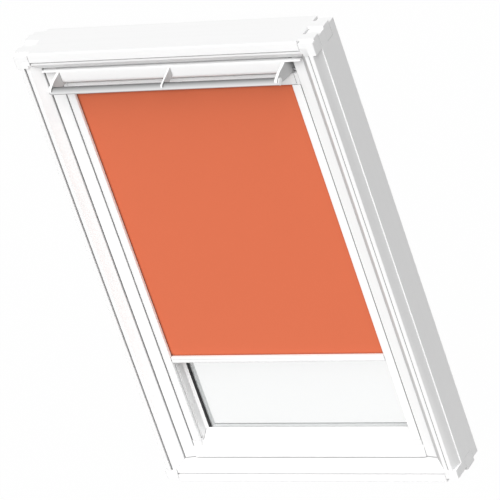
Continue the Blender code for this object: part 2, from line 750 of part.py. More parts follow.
def build_glazing():
    """Two panes, their spacer and the inner gasket."""
    glass = finish("clear_glass", (0.90, 0.95, 0.94), 0.05, 0.0, 0.3)
    for name, front in (("inner_pane", INNER_PANE_FRONT), ("outer_pane", OUTER_PANE_FRONT)):
        low = (side_x(GLASS_EDGE, -1), depth_y(front), GLASS_EDGE)
        high = (side_x(GLASS_EDGE, 1), depth_y(front + GLASS_THICKNESS), top_z(GLASS_EDGE))
        block(name, low, high, glass)
    depths = (INNER_PANE_BACK + SEAT, OUTER_PANE_FRONT - SEAT)
    edge = GLASS_EDGE + SPACER_EDGE_INSET
    sides = rectangle(edge, OPENING_INSET + GASKET_PROUD, *depths)
    foot = rectangle(edge, OPENING_INSET - SPACER_BOTTOM_COVER, *depths)
    ring("pane_spacer", sides, finish("spacer_metal", (0.72, 0.73, 0.74), 0.4, 0.5), foot)
    depths = (GASKET_FRONT, GASKET_BACK)
    sides = rectangle(GLASS_EDGE + GASKET_EDGE_INSET, OPENING_INSET + GASKET_PROUD, *depths)
    foot = rectangle(GLASS_EDGE, OPENING_INSET - GASKET_BOTTOM_COVER, *depths)
    ring("glazing_gasket", sides, rubber(), foot)


def sash_cover_section():
    """The raised section of a sash cover, with a thin lip that laps the outer pane."""
    base = SASH_BACK + SEAT
    outer = SASH_INSET + SASH_GAP
    lip = GLASS_EDGE + SASH_COVER_LIP
    crown_inner = GLASS_EDGE - SASH_COVER_HEIGHT / 2
    return [
        (outer, base),
        (lip, base),
        (lip, base + SASH_COVER_LIP_THICKNESS),
        (crown_inner + SASH_COVER_HEIGHT / 2, base + SASH_COVER_LIP_THICKNESS),
        (crown_inner, base + SASH_COVER_HEIGHT),
        (outer + SASH_COVER_HEIGHT / 2, base + SASH_COVER_HEIGHT),
        (outer, base + SASH_COVER_HEIGHT / 2),
    ]


def build_sash_covers():
    """Cladding over the roof side of the sash, which also holds the glass in."""
    section = sash_cover_section()
    outer = SASH_INSET + SASH_GAP
    lip = GLASS_EDGE + SASH_COVER_LIP
    for name, upper in (("sash_cover_top", True), ("sash_cover_bottom", False)):
        outline = [(depth_y(depth), top_z(inset) if upper else inset) for inset, depth in section]
        prism(name, outline, "X", *across(outer), cladding())
    for side in (-1, 1):
        outline = [(side_x(inset, side), depth_y(depth)) for inset, depth in section]
        prism(side_name("sash_cover", side), outline, "Z", lip + SEAT, top_z(lip + SEAT), cladding())


def build_pivots():
    """A plate with a pin in each post, and a plate with a bush in each stile."""
    y_low = depth_y(PIVOT_DEPTH - PIVOT_PLATE_WIDTH / 2)
    y_high = depth_y(PIVOT_DEPTH + PIVOT_PLATE_WIDTH / 2)
    z_low = PIVOT_HEIGHT - PIVOT_PLATE_LENGTH / 2
    z_high = PIVOT_HEIGHT + PIVOT_PLATE_LENGTH / 2
    for side in (-1, 1):
        centre = (side_x(0.0, side), depth_y(PIVOT_DEPTH), PIVOT_HEIGHT)
        plate_back = FRAME_SECTION - PIVOT_PLATE_THICKNESS
        x_pair = sorted((side_x(plate_back, side), side_x(FRAME_SECTION, side)))
        plate = block(side_name("pivot_pin_plate", side), (x_pair[0], y_low, z_low),
                      (x_pair[1], y_high, z_high), steel())
        pin_end = SASH_INSET + PIVOT_PIN_REACH - SEAT
        start, end = sorted((-side * (plate_back + PIVOT_PLATE_THICKNESS / 2), -side * pin_end))
        pin = rod(side_name("pivot_pin_shape", side), centre, start, end, PIVOT_PIN_RADIUS, None)
        carve(plate, pin, "UNION")

        face = SASH_INSET + SEAT
        x_pair = sorted((side_x(face, side), side_x(face + PIVOT_PLATE_THICKNESS, side)))
        socket = block(side_name("pivot_bush_plate", side), (x_pair[0], y_low, z_low),
                       (x_pair[1], y_high, z_high), steel())
        bush_start = face + PIVOT_PLATE_THICKNESS / 2
        start, end = sorted((-side * bush_start, -side * (SASH_INSET + PIVOT_PIN_REACH)))
        bush_radius = PIVOT_PIN_RADIUS + RUNNING + PIVOT_BUSH_WALL
        bush = rod(side_name("pivot_bush_shape", side), centre, start, end, bush_radius, None)
        carve(socket, bush, "UNION")
        start, end = sorted((-side * FRAME_SECTION, -side * (SASH_INSET + PIVOT_PIN_REACH + OVERSHOOT)))
        hole = rod(side_name("pivot_bush_hole", side), centre, start, end,
                   PIVOT_PIN_RADIUS + RUNNING, None)
        carve(socket, hole)


def build_lock():
    """The lock case in the top rail, its sliding bolt and the striker plate in the head."""
    half_length = LOCK_LENGTH / 2
    half_width = LOCK_WIDTH / 2
    half_bolt = BOLT_LENGTH / 2
    half_bolt_width = BOLT_WIDTH / 2
    case_top = top_z(SASH_INSET + SEAT)
    case_bottom = top_z(SASH_INSET + LOCK_HEIGHT)
    case = block("lock_case", (-half_length, depth_y(PIVOT_DEPTH - half_width), case_bottom),
                 (half_length, depth_y(PIVOT_DEPTH + half_width), case_top), steel())
    carve(case, sorted_block(
        "bolt_way",
        (-half_bolt - RUNNING, depth_y(PIVOT_DEPTH - half_bolt_width - RUNNING), case_bottom + LOCK_WALL),
        (half_bolt + RUNNING, depth_y(PIVOT_DEPTH + half_bolt_width + RUNNING), case_top + OVERSHOOT)))
    bolt_top = top_z(SASH_INSET - SASH_GAP / 2)
    bolt_bottom = case_bottom + LOCK_WALL + BOLT_TRAVEL + RUNNING
    chamfer = BOLT_WIDTH / 4
    bolt = [
        (depth_y(PIVOT_DEPTH - half_bolt_width), bolt_bottom),
        (depth_y(PIVOT_DEPTH + half_bolt_width), bolt_bottom),
        (depth_y(PIVOT_DEPTH + half_bolt_width), bolt_top - chamfer),
        (depth_y(PIVOT_DEPTH + half_bolt_width - chamfer), bolt_top),
        (depth_y(PIVOT_DEPTH - half_bolt_width + chamfer), bolt_top),
        (depth_y(PIVOT_DEPTH - half_bolt_width), bolt_top - chamfer),
    ]
    prism("latch_bolt", bolt, "X", -half_bolt, half_bolt, steel())
    plate = block("striker_plate",
                  (-half_length, depth_y(PIVOT_DEPTH - half_width), top_z(FRAME_SECTION)),
                  (half_length, depth_y(PIVOT_DEPTH + half_width),
                   top_z(FRAME_SECTION - STRIKER_THICKNESS)), steel())
    carve(plate, sorted_block(
        "striker_hole",
        (-half_bolt - RUNNING, depth_y(PIVOT_DEPTH - half_bolt_width - RUNNING),
         top_z(FRAME_SECTION + OVERSHOOT)),
        (half_bolt + RUNNING, depth_y(PIVOT_DEPTH + half_bolt_width + RUNNING),
         top_z(FRAME_SECTION - OVERSHOOT))))


def flap_shell_outline():
    """The flap's open-backed section: flat face, rounded top edge and rolled-in foot."""
    top = top_z(FLAP_TOP_INSET)
    bottom = top_z(FLAP_BOTTOM_INSET)
    outer_top = arc(FLAP_SETBACK + FLAP_TOP_RADIUS, top - FLAP_TOP_RADIUS, FLAP_TOP_RADIUS, 90, 180, 4)
    outer_foot = arc(FLAP_SETBACK + FLAP_BOTTOM_RADIUS, bottom + FLAP_BOTTOM_RADIUS,
                     FLAP_BOTTOM_RADIUS, 180, 270, 6)
    inner_foot = arc(FLAP_SETBACK + FLAP_BOTTOM_RADIUS, bottom + FLAP_BOTTOM_RADIUS,
                     FLAP_BOTTOM_RADIUS - FLAP_WALL, 270, 180, 6)
    inner_corner = (FLAP_SETBACK + FLAP_WALL, top - FLAP_WALL)
    points = [(FLAP_BACK, top)]
    points += outer_top + outer_foot
    points += [(FLAP_BACK, bottom), (FLAP_BACK, bottom + FLAP_WALL)]
    points += inner_foot
    points += [inner_corner, (FLAP_BACK, top - FLAP_WALL)]
    return at_depth(points)


def flap_ledge_outline():
    """The ledge that carries the flap's top on over the brackets and stiles."""
    top = top_z(FLAP_TOP_INSET)
    back = SASH_SETBACK - FLAP_LEDGE_CLEARANCE
    front = arc(FLAP_SETBACK + FLAP_TOP_RADIUS, top - FLAP_TOP_RADIUS, FLAP_TOP_RADIUS, 90, 180, 4)
    return at_depth([(back, top)] + front + [(back, top - FLAP_TOP_RADIUS)])


def saddle_points():
    """The bracket's seat over the bar, from its front tip over the top to its back tip."""
    centre_z = top_z(BAR_CENTRE_INSET)
    inner = BAR_RADIUS + SEAT
    outer = inner + BRACKET_ARM
    front = arc(BAR_CENTRE_DEPTH, centre_z, outer, SADDLE_TIP_FRONT, SADDLE_FRONT, 3)
    seat = arc(BAR_CENTRE_DEPTH, centre_z, inner, SADDLE_FRONT, SADDLE_BACK, 14)
    back = arc(BAR_CENTRE_DEPTH, centre_z, outer, SADDLE_BACK, SADDLE_TIP_BACK, 1)
    return front + seat + back


def build_end_bracket(side):
    """A bracket at the flap's end: a curved arm to the bar and a cheek back to the pivot."""
    name = side_name("bar_bracket", side)
    top = top_z(FLAP_TOP_INSET)
    cheek_bottom = top_z(CHEEK_BOTTOM_INSET)
    cheek_top = top - FLAP_TOP_RADIUS - SEAT
    points = [(CHEEK_BACK, cheek_top), (FLAP_SETBACK, cheek_top)]
    points += [(FLAP_SETBACK - SHOULDER_REACH, top - SHOULDER_DROP)]
    points += [(FLAP_SETBACK - KNEE_REACH, top - KNEE_DROP)]
    points += saddle_points()
    points += [(FLAP_SETBACK, cheek_bottom), (CHEEK_BACK, cheek_bottom)]
    centre = side * BRACKET_CENTRE
    start, end = centre - BRACKET_THICKNESS / 2, centre + BRACKET_THICKNESS / 2
    bracket = prism(name, at_depth(points), "X", start, end, white_plastic())
    hole_centre = (centre, depth_y(FLAP_AXIS_DEPTH), top_z(FLAP_AXIS_INSET))
    reach = BRACKET_THICKNESS / 2 + OVERSHOOT
    carve(bracket, rod(f"{name}_hole", hole_centre, -reach, reach, PIN_HOLE_RADIUS, None))


def build_middle_bracket():
    """The thin bracket halfway along the bar, which stands on the flap's face."""
    face = FLAP_SETBACK - SEAT
    points = [(face, top_z(FLAP_TOP_INSET + BRACKET_WEB_TOP))]
    points += saddle_points()
    points += [(face, top_z(FLAP_BOTTOM_INSET - FLAP_BOTTOM_RADIUS))]
    half = MIDDLE_BRACKET_THICKNESS / 2
    prism("bar_bracket_middle", at_depth(points), "X", -half, half, white_plastic())


def build_flap():
    """The ventilation flap with its bar, brackets, seal and pins."""
    inner = BRACKET_CENTRE - BRACKET_THICKNESS / 2 - SEAT
    flap = prism("vent_flap", flap_shell_outline(), "X", -inner, inner, white_aluminium())
    ledge_end = HALF_WIDTH - SASH_INSET - FLAP_LEDGE_CLEARANCE
    carve(flap, prism("flap_ledge", flap_ledge_outline(), "X", -ledge_end, ledge_end, None), "UNION")
    seal_front = FLAP_BACK + SEAT
    seal = rectangle(FLAP_TOP_INSET, FLAP_TOP_INSET + FLAP_SEAL_HEIGHT,
                     seal_front, seal_front + FLAP_SEAL_THICKNESS)
    seal_outline = [(depth_y(depth), top_z(inset)) for inset, depth in seal]
    seal_half = min(inner, HALF_WIDTH - OPENING_INSET) - OVERSHOOT
    prism("flap_seal", seal_outline, "X", -seal_half, seal_half, rubber())
    for side in (-1, 1):
        build_end_bracket(side)
    build_middle_bracket()

    bar_centre = (0.0, depth_y(BAR_CENTRE_DEPTH), top_z(BAR_CENTRE_INSET))
    bar_half = BRACKET_CENTRE + BRACKET_THICKNESS / 2 + SEAT
    bore = BAR_RADIUS - BAR_WALL
    turned("control_bar", tube_profile(bar_half, bore, BAR_RADIUS), bar_centre, satin_aluminium())
    for side in (-1, 1):
        neck_in = bar_half - BAR_CAP_NECK
        rim = bar_half + SEAT
        profile = [(neck_in, 0.0), (neck_in, bore - SEAT), (rim, bore - SEAT), (rim, BAR_RADIUS),
                   (rim + BAR_CAP_THICKNESS / 2, BAR_RADIUS), (rim + BAR_CAP_THICKNESS, bore),
                   (rim + BAR_CAP_THICKNESS, 0.0)]
        turned(side_name("bar_cap", side), [(side * along, radius) for along, radius in profile],
               bar_centre, white_plastic())

        pin_centre = (0.0, depth_y(FLAP_AXIS_DEPTH), top_z(FLAP_AXIS_INSET))
        pin_start = BRACKET_CENTRE - BRACKET_THICKNESS / 2
        pin_end = HALF_WIDTH - FACE_INSET + FLAP_PIN_SEAT
        start, end = sorted((side * pin_start, side * pin_end))
        rod(side_name("flap_pin", side), pin_centre, start, end, FLAP_PIN_RADIUS, steel())


def build_casing():
    """The blind's top casing: a slotted shell between two end pieces with gudgeons."""
    wall = CASING_WALL
    top = top_z(CASING_INSET)
    bottom = top_z(CASING_BOTTOM)
    slot_front = FABRIC_DEPTH - FABRIC_SLOT / 2
    slot_back = FABRIC_DEPTH + FABRIC_SLOT / 2
    front = BLIND_SETBACK
    back = CASING_BACK
    radius = CASING_RADIUS
    points = [(slot_back, bottom), (back, bottom), (back, top)]
    points += arc(front + radius, top - radius, radius, 90, 180, 4)
    points += arc(front + radius / 2, bottom + radius / 2, radius / 2, 180, 270, 2)
    points += [(slot_front, bottom), (slot_front, bottom + wall), (front + wall, bottom + wall),
               (front + wall, top - wall), (back - wall, top - wall), (back - wall, bottom + wall),
               (slot_back, bottom + wall)]
    ends = across(CASING_END_INSET)
    prism("blind_casing", at_depth(points), "X", *ends, white_aluminium())

    axis_y = depth_y(ROLLER_DEPTH)
    axis_z = top_z(ROLLER_INSET)
    for side in (-1, 1):
        inner = CASING_END_INSET - SEAT
        outer = inner - CASING_END_WALL
        ear_back = REBATE_FLOOR - 2 * SEAT
        outline = [
            (side_x(inner, side), depth_y(front + radius / 2)),
            (side_x(inner, side), depth_y(back)),
            (side_x(outer, side), depth_y(back)),
            (side_x(outer, side), depth_y(ear_back)),
            (side_x(CHANNEL_INSET, side), depth_y(ear_back)),
            (side_x(CHANNEL_INSET, side), depth_y(front + radius / 2)),
            (side_x(CHANNEL_INSET + radius / 2, side), depth_y(front)),
            (side_x(inner - radius / 2, side), depth_y(front)),
        ]
        name = side_name("casing_end", side)
        end_piece = prism(name, outline, "Z", bottom, top, white_plastic())
        start, end = sorted((-side * (inner - CASING_END_WALL / 2), -side * (inner + GUDGEON_LENGTH)))
        centre = (side_x(0.0, side), axis_y, axis_z)
        carve(end_piece, rod(f"{name}_gudgeon", centre, start, end, GUDGEON_RADIUS, None), "UNION")


def channel_outline(side):
    """The side channel's section: a face rounded towards the stile and a slot for the fabric."""
    slot_back = SLOT_FRONT + FABRIC_SLOT
    slot_end = CHANNEL_INNER - CHANNEL_SLOT_REACH
    round_end = CHANNEL_INSET + CHANNEL_ROUND_WIDTH
    rise = CHANNEL_ROUND_DEPTH / CHANNEL_ROUND_WIDTH
    points = [
        (inset, CHANNEL_FRONT + CHANNEL_ROUND_DEPTH - height * rise)
        for inset, height in arc(round_end, 0.0, CHANNEL_ROUND_WIDTH, 180, 90)
    ]
    points += [
        (CHANNEL_INNER - CHANNEL_NOSE, CHANNEL_FRONT),
        (CHANNEL_INNER, CHANNEL_FRONT + CHANNEL_NOSE),
        (CHANNEL_INNER, SLOT_FRONT),
        (slot_end, SLOT_FRONT),
        (slot_end, slot_back),
        (CHANNEL_INNER, slot_back),
        (CHANNEL_INNER, CHANNEL_BACK),
        (CHANNEL_INSET, CHANNEL_BACK),
    ]
    return [(side_x(inset, side), depth_y(depth)) for inset, depth in points]


def build_channels():
    """The two side channels and the foot that closes each one on the bottom rail."""
    foot_front = rail_slope_inset(CHANNEL_FRONT) + SEAT
    foot_back = rail_slope_inset(CHANNEL_BACK) + 2 * SEAT
    foot_top = foot_front + CHANNEL_FOOT_HEIGHT
    for side in (-1, 1):
        prism(side_name("side_channel", side), channel_outline(side), "Z", foot_top + SEAT,
              top_z(CASING_BOTTOM + SEAT), white_aluminium())
        outline = at_depth([
            (CHANNEL_FRONT, foot_front), (CHANNEL_BACK, foot_back),
            (CHANNEL_BACK, foot_top), (CHANNEL_FRONT, foot_top),
        ])
        ends = sorted((side_x(CHANNEL_INSET, side), side_x(CHANNEL_INNER, side)))
        prism(side_name("channel_foot", side), outline, "X", *ends, white_plastic())


def build_fabric():
    """The blackout fabric that hangs from the roll into the bottom bar."""
    hem = BOTTOM_BAR_TOP - CLAMP_SLOT_DEPTH / 2
    low = (side_x(FABRIC_EDGE, -1), depth_y(FABRIC_FRONT), hem)
    high = (side_x(FABRIC_EDGE, 1), depth_y(FABRIC_BACK), top_z(ROLLER_INSET))
    block("blackout_fabric", low, high, orange_fabric())


def build_roller():
    """The roller: tube, rolled fabric, end plugs, and the spring round its fixed mandrel."""
    centre = (0.0, depth_y(ROLLER_DEPTH), top_z(ROLLER_INSET))
    clear_half = HALF_WIDTH - CASING_END_INSET - RUNNING
    tube_half = clear_half - PLUG_FLANGE
    turned("roller_tube", tube_profile(tube_half, ROLLER_BORE, ROLLER_RADIUS), centre,
           satin_aluminium())
    turned("fabric_roll", tube_profile(clear_half, ROLLER_RADIUS + SEAT, ROLL_RADIUS), centre,
           orange_fabric())
    gudgeon_bore = GUDGEON_RADIUS + SEAT
    for name, side in (("spring_plug", -1), ("idle_plug", 1)):
        flange_in = tube_half + SEAT
        neck_in = tube_half - PLUG_LENGTH
        neck = ROLLER_BORE - SEAT
        profile = [(neck_in, gudgeon_bore), (neck_in, neck), (flange_in, neck),
                   (flange_in, ROLLER_RADIUS), (clear_half, ROLLER_RADIUS), (clear_half, gudgeon_bore)]
        turned(name, [(side * along, radius) for along, radius in profile], centre, white_plastic())

    gudgeon_end = HALF_WIDTH - CASING_END_INSET - GUDGEON_LENGTH
    mandrel_start = -gudgeon_end + SEAT
    rod("spring_mandrel", centre, mandrel_start, mandrel_start + MANDREL_LENGTH, MANDREL_RADIUS, steel())
    build_spring(centre, -(tube_half - PLUG_LENGTH) + SEAT + SPRING_WIRE)


def build_spring(centre, start):
    """The lift spring: one helix round the mandrel, from the plug inwards."""
    steps_per_turn = 8
    count = SPRING_TURNS * steps_per_turn
    curve = bpy.data.curves.new("roller_spring", "CURVE")
    curve.dimensions = "3D"
    curve.bevel_depth = SPRING_WIRE
    curve.bevel_resolution = 1
    curve.use_fill_caps = True
    spline = curve.splines.new("POLY")
    spline.points.add(count)
    for i in range(count + 1):
        angle = 2 * pi * i / steps_per_turn
        spline.points[i].co = (centre[0] + start + SPRING_PITCH * i / steps_per_turn,
                               centre[1] + SPRING_RADIUS * cos(angle),
                               centre[2] + SPRING_RADIUS * sin(angle), 1.0)
    curve.materials.append(steel())
    item = bpy.data.objects.new("roller_spring", curve)
    bpy.context.scene.collection.objects.link(item)


def build_bottom_bar():
    """The bottom bar with the strip that clamps the fabric, and a glide at each end."""
    top = BOTTOM_BAR_TOP
    bottom = BOTTOM_BAR_BASE
    front = CHANNEL_FRONT
    back = front + BOTTOM_BAR_DEPTH
    groove = BOTTOM_BAR_GROOVE
    middle = bottom + BOTTOM_BAR_HEIGHT / 2
    slot_front = FABRIC_FRONT - SEAT
    slot_back = slot_front + CLAMP_SLOT
    slot_floor = top - CLAMP_SLOT_DEPTH
    points = [
        (back - groove, bottom), (back, bottom + groove), (back, top),
        (slot_back, top), (slot_back, slot_floor), (slot_front, slot_floor), (slot_front, top),
        (front + groove, top), (front, top - groove),
        (front, middle + groove), (front + groove, middle), (front, middle - groove),
    ]
    points += arc(front + BOTTOM_BAR_RADIUS, bottom + BOTTOM_BAR_RADIUS, BOTTOM_BAR_RADIUS, 180, 270, 4)
    half = HALF_WIDTH - CHANNEL_INNER - BOTTOM_BAR_SIDE_GAP
    prism("bottom_bar", at_depth(points), "X", -half, half, white_aluminium())

    strip_front = FABRIC_BACK + SEAT
    low = (-half, depth_y(strip_front), slot_floor + SEAT)
    high = (half, depth_y(strip_front + CLAMP_STRIP_THICKNESS), top - SEAT)
    block("clamp_strip", low, high, white_plastic())

    glide_bottom = bottom + (BOTTOM_BAR_HEIGHT - CLAMP_SLOT_DEPTH - GLIDE_HEIGHT) / 2
    for side in (-1, 1):
        inner = CHANNEL_INNER + BOTTOM_BAR_SIDE_GAP - SEAT
        outer = CHANNEL_INNER - GLIDE_REACH
        x_pair = sorted((side_x(inner, side), side_x(outer, side)))
        block(side_name("bar_glide", side),
              (x_pair[0], depth_y(SLOT_FRONT + RUNNING), glide_bottom),
              (x_pair[1], depth_y(SLOT_FRONT + FABRIC_SLOT - RUNNING), glide_bottom + GLIDE_HEIGHT),
              white_plastic())


def both(stem):
    """The names of a left and right pair."""
    return [side_name(stem, side) for side in (-1, 1)]


def hang(item, parent):
    """Parent an object to an empty without moving it."""
    item.parent = parent
    item.matrix_parent_inverse = Matrix.Translation(-parent.location)


def joint_empty(name, location, parent, pieces):
    """An empty on a joint's axis, with the pieces that move with it hung on it where they are."""
    empty = bpy.data.objects.new(name, None)
    empty.location = location
    bpy.context.scene.collection.objects.link(empty)
    if parent is not None:
        hang(empty, parent)
    for piece in pieces:
        hang(bpy.data.objects[piece], empty)
    return empty


def join_moving_pieces():
    """Hang each moving piece on its joint. What isn't named here belongs to the fixed frame."""
    sash = joint_empty("sash_pivot", (0.0, depth_y(PIVOT_DEPTH), PIVOT_HEIGHT), None, [
        "sash_top_rail", "sash_bottom_rail", *both("sash_stile"), "sash_seal",
        "inner_pane", "outer_pane", "pane_spacer", "glazing_gasket",
        "sash_cover_top", "sash_cover_bottom", *both("sash_cover"),
        *both("pivot_bush_plate"), "lock_case", *both("flap_pin"),
        "blind_casing", *both("casing_end"), *both("side_channel"), *both("channel_foot"),
        "blackout_fabric", "spring_mandrel",
    ])
    flap_axis = (0.0, depth_y(FLAP_AXIS_DEPTH), top_z(FLAP_AXIS_INSET))
    joint_empty("flap_hinge", flap_axis, sash, [
        "vent_flap", "flap_seal", *both("bar_bracket"), "bar_bracket_middle",
        "control_bar", *both("bar_cap"),
    ])
    latch_axis = (0.0, depth_y(PIVOT_DEPTH), top_z(SASH_INSET))
    joint_empty("latch_slide", latch_axis, sash, ["latch_bolt"])
    roller_axis = (0.0, depth_y(ROLLER_DEPTH), top_z(ROLLER_INSET))
    joint_empty("roller_spin", roller_axis, sash, [
        "roller_tube", "fabric_roll", "spring_plug", "idle_plug", "roller_spring",
    ])
    bar_axis = (0.0, depth_y(FABRIC_DEPTH), BOTTOM_BAR_TOP)
    joint_empty("blind_slide", bar_axis, sash, ["bottom_bar", "clamp_strip", *both("bar_glide")])


def main():
    """Build the window from the frame inwards, then the blind."""
    clear_scene()
    build_frame()
    build_frame_covers()
    build_sash()
    build_glazing()
    build_sash_covers()
    build_pivots()
    build_lock()
    build_flap()
    build_casing()
    build_channels()
    build_fabric()
    build_roller()
    build_bottom_bar()
    join_moving_pieces()


main()
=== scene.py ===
"""Dress a centre-pivot roof window and its blackout roller blind, and set up its studio.

X runs across the window, Z up its slope, and -Y points into the room. Sizes are in metres. Each
sub-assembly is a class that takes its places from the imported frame, and each surface is a finish.
"""
import logging
from dataclasses import dataclass
from enum import Enum
from math import cos, pi, radians, sin, tau
from typing import Iterable, Union

import bmesh
import bpy
from mathutils import Matrix, Vector


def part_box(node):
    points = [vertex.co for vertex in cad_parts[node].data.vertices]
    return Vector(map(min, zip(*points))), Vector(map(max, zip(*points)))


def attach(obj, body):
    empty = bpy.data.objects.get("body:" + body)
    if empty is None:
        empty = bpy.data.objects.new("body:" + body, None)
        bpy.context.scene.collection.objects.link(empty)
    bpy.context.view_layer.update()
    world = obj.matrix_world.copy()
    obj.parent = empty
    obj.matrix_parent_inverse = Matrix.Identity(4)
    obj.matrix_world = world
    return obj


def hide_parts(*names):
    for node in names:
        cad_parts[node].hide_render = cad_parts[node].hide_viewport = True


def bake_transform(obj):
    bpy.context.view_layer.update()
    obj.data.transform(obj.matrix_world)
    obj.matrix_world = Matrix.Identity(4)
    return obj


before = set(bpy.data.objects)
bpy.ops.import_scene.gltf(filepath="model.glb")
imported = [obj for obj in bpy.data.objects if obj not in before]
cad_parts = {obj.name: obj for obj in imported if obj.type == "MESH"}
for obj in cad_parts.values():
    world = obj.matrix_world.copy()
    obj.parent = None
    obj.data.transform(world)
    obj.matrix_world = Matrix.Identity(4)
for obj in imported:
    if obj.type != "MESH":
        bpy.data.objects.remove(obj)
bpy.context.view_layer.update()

Color = tuple[float, float, float]
Point = tuple[float, float, float]
Piece = bpy.types.Object
Node = bpy.types.Node
Socket = bpy.types.NodeSocket
MeshData = bmesh.types.BMesh
Number = Union[float, "Signal"]
Pair = tuple[float, float]
Stops = tuple[Pair, ...]

LOG = logging.getLogger("roof_window")
MERGE_DISTANCE = 1e-6
# Painted shade in gaps: ambient occlusion samples, and the occlusion at or below which a gap counts as fully
# shut.
GAP_SHADE_SAMPLES = 12
GAP_SHADE_SHUT = 0.1
FLAT_ANGLE = radians(0.5)
SHARP_ANGLE = radians(32)


class Body(Enum):
    """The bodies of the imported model."""

    FRAME = "frame"
    SASH = "sash"
    FLAP = "flap"
    LATCH = "latch"
    ROLLER = "roller"
    BLIND_BAR = "blind_bar"


@dataclass(frozen=True)
class Noise:
    """A noise: cells per metre, octaves, and a factor on the cells along X, Y and Z."""

    scale: float
    detail: float = 2.0
    stretch: Point = (1.0, 1.0, 1.0)


class Grain(Enum):
    """Which way a timber's grain runs."""

    UPRIGHT = Noise(1.0, 4.0, (150.0, 150.0, 3.0))
    ACROSS = Noise(1.0, 4.0, (3.0, 150.0, 150.0))


class Signal:
    """A shader value. Arithmetic on it adds Math nodes to its tree."""

    def __init__(self, tree: "NodeTree", socket: Socket) -> None:
        """Wrap one output socket of a tree."""
        self.tree = tree
        self.socket = socket

    def math(self, operation: str, *values: Number) -> "Signal":
        """Add a Math node, whose inputs are numbers or signals in order."""
        return self.tree.signal("ShaderNodeMath", dict(enumerate(values)), operation=operation)

    def __add__(self, other: Number) -> "Signal":
        """Sum."""
        return self.math("ADD", self, other)

    def __radd__(self, other: Number) -> "Signal":
        """Sum with a number on the left."""
        return self.math("ADD", other, self)

    def __sub__(self, other: Number) -> "Signal":
        """Difference."""
        return self.math("SUBTRACT", self, other)

    def __rsub__(self, other: Number) -> "Signal":
        """Difference from a number on the left."""
        return self.math("SUBTRACT", other, self)

    def __mul__(self, other: Number) -> "Signal":
        """Product."""
        return self.math("MULTIPLY", self, other)

    def __rmul__(self, other: Number) -> "Signal":
        """Product with a number on the left."""
        return self.math("MULTIPLY", other, self)

    def sine(self) -> "Signal":
        """Sine of the value, in radians."""
        return self.math("SINE", self)

    def absolute(self) -> "Signal":
        """Size of the value without its sign."""
        return self.math("ABSOLUTE", self)

    def above(self, limit: Number) -> "Signal":
        """1 where the value is over the limit, 0 elsewhere."""
        return self.math("GREATER_THAN", self, limit)

    def largest(self, other: Number) -> "Signal":
        """The larger of two values."""
        return self.math("MAXIMUM", self, other)

    def mixed(self, other: "Signal", share: float) -> "Signal":
        """A share of this value and the rest of another."""
        return self * share + other * (1.0 - share)

    def blend(self, low: Number, high: Number) -> "Signal":
        """Move from low at 0 to high at 1."""
        return low + (high - low) * self


class NodeTree:
    """A tree of nodes that is filled one node at a time."""

    def __init__(self, tree: bpy.types.NodeTree) -> None:
        """Empty a tree and keep it to be filled."""
        self.tree = tree
        tree.nodes.clear()

    def node(self, kind: str, inputs: dict | None = None, **settings: object) -> Node:
        """Add a node.

        Args:
            kind: The node's type.
            inputs: What feeds its input sockets, by name or index.
            settings: Its own properties, set before its sockets.

        Returns:
            The new node.
        """
        node = self.tree.nodes.new(kind)
        for key, value in settings.items():
            setattr(node, key, value)
        for key, value in (inputs or {}).items():
            self.feed(node.inputs[key], value)
        return node

    def signal(self, kind: str, inputs: dict | None = None, output: int | str = 0,
               **settings: object) -> Signal:
        """Add a node and wrap one of its outputs."""
        return Signal(self, self.node(kind, inputs, **settings).outputs[output])

    def rays(self, *kinds: str) -> Signal:
        """Tell kinds of light paths from the others.

        Args:
            kinds: Their names in the node's outputs, such as Camera.

        Returns:
            1 for these paths, 0 for the others.
        """
        seen = self.node("ShaderNodeLightPath").outputs
        first, *others = (Signal(self, seen[f"Is {kind} Ray"]) for kind in kinds)
        for other in others:
            first = first.largest(other)
        return first

    def feed(self, socket: Socket, value: object) -> None:
        """Link or set one input socket.

        Args:
            socket: The socket to feed.
            value: A signal, a socket or a node's first output to link, or a plain value to set.
        """
        if isinstance(value, Signal):
            value = value.socket
        if isinstance(value, Node):
            value = value.outputs[0]
        if isinstance(value, Socket):
            self.tree.links.new(value, socket)
        else:
            socket.default_value = value

    def show(self, output: str, factor: Number, low: Node, high: Node) -> None:
        """Mix two shaders, the first at a factor of 0, and end the tree with the result."""
        self.node(output, {0: self.node("ShaderNodeMixShader", {0: factor, 1: low, 2: high})})


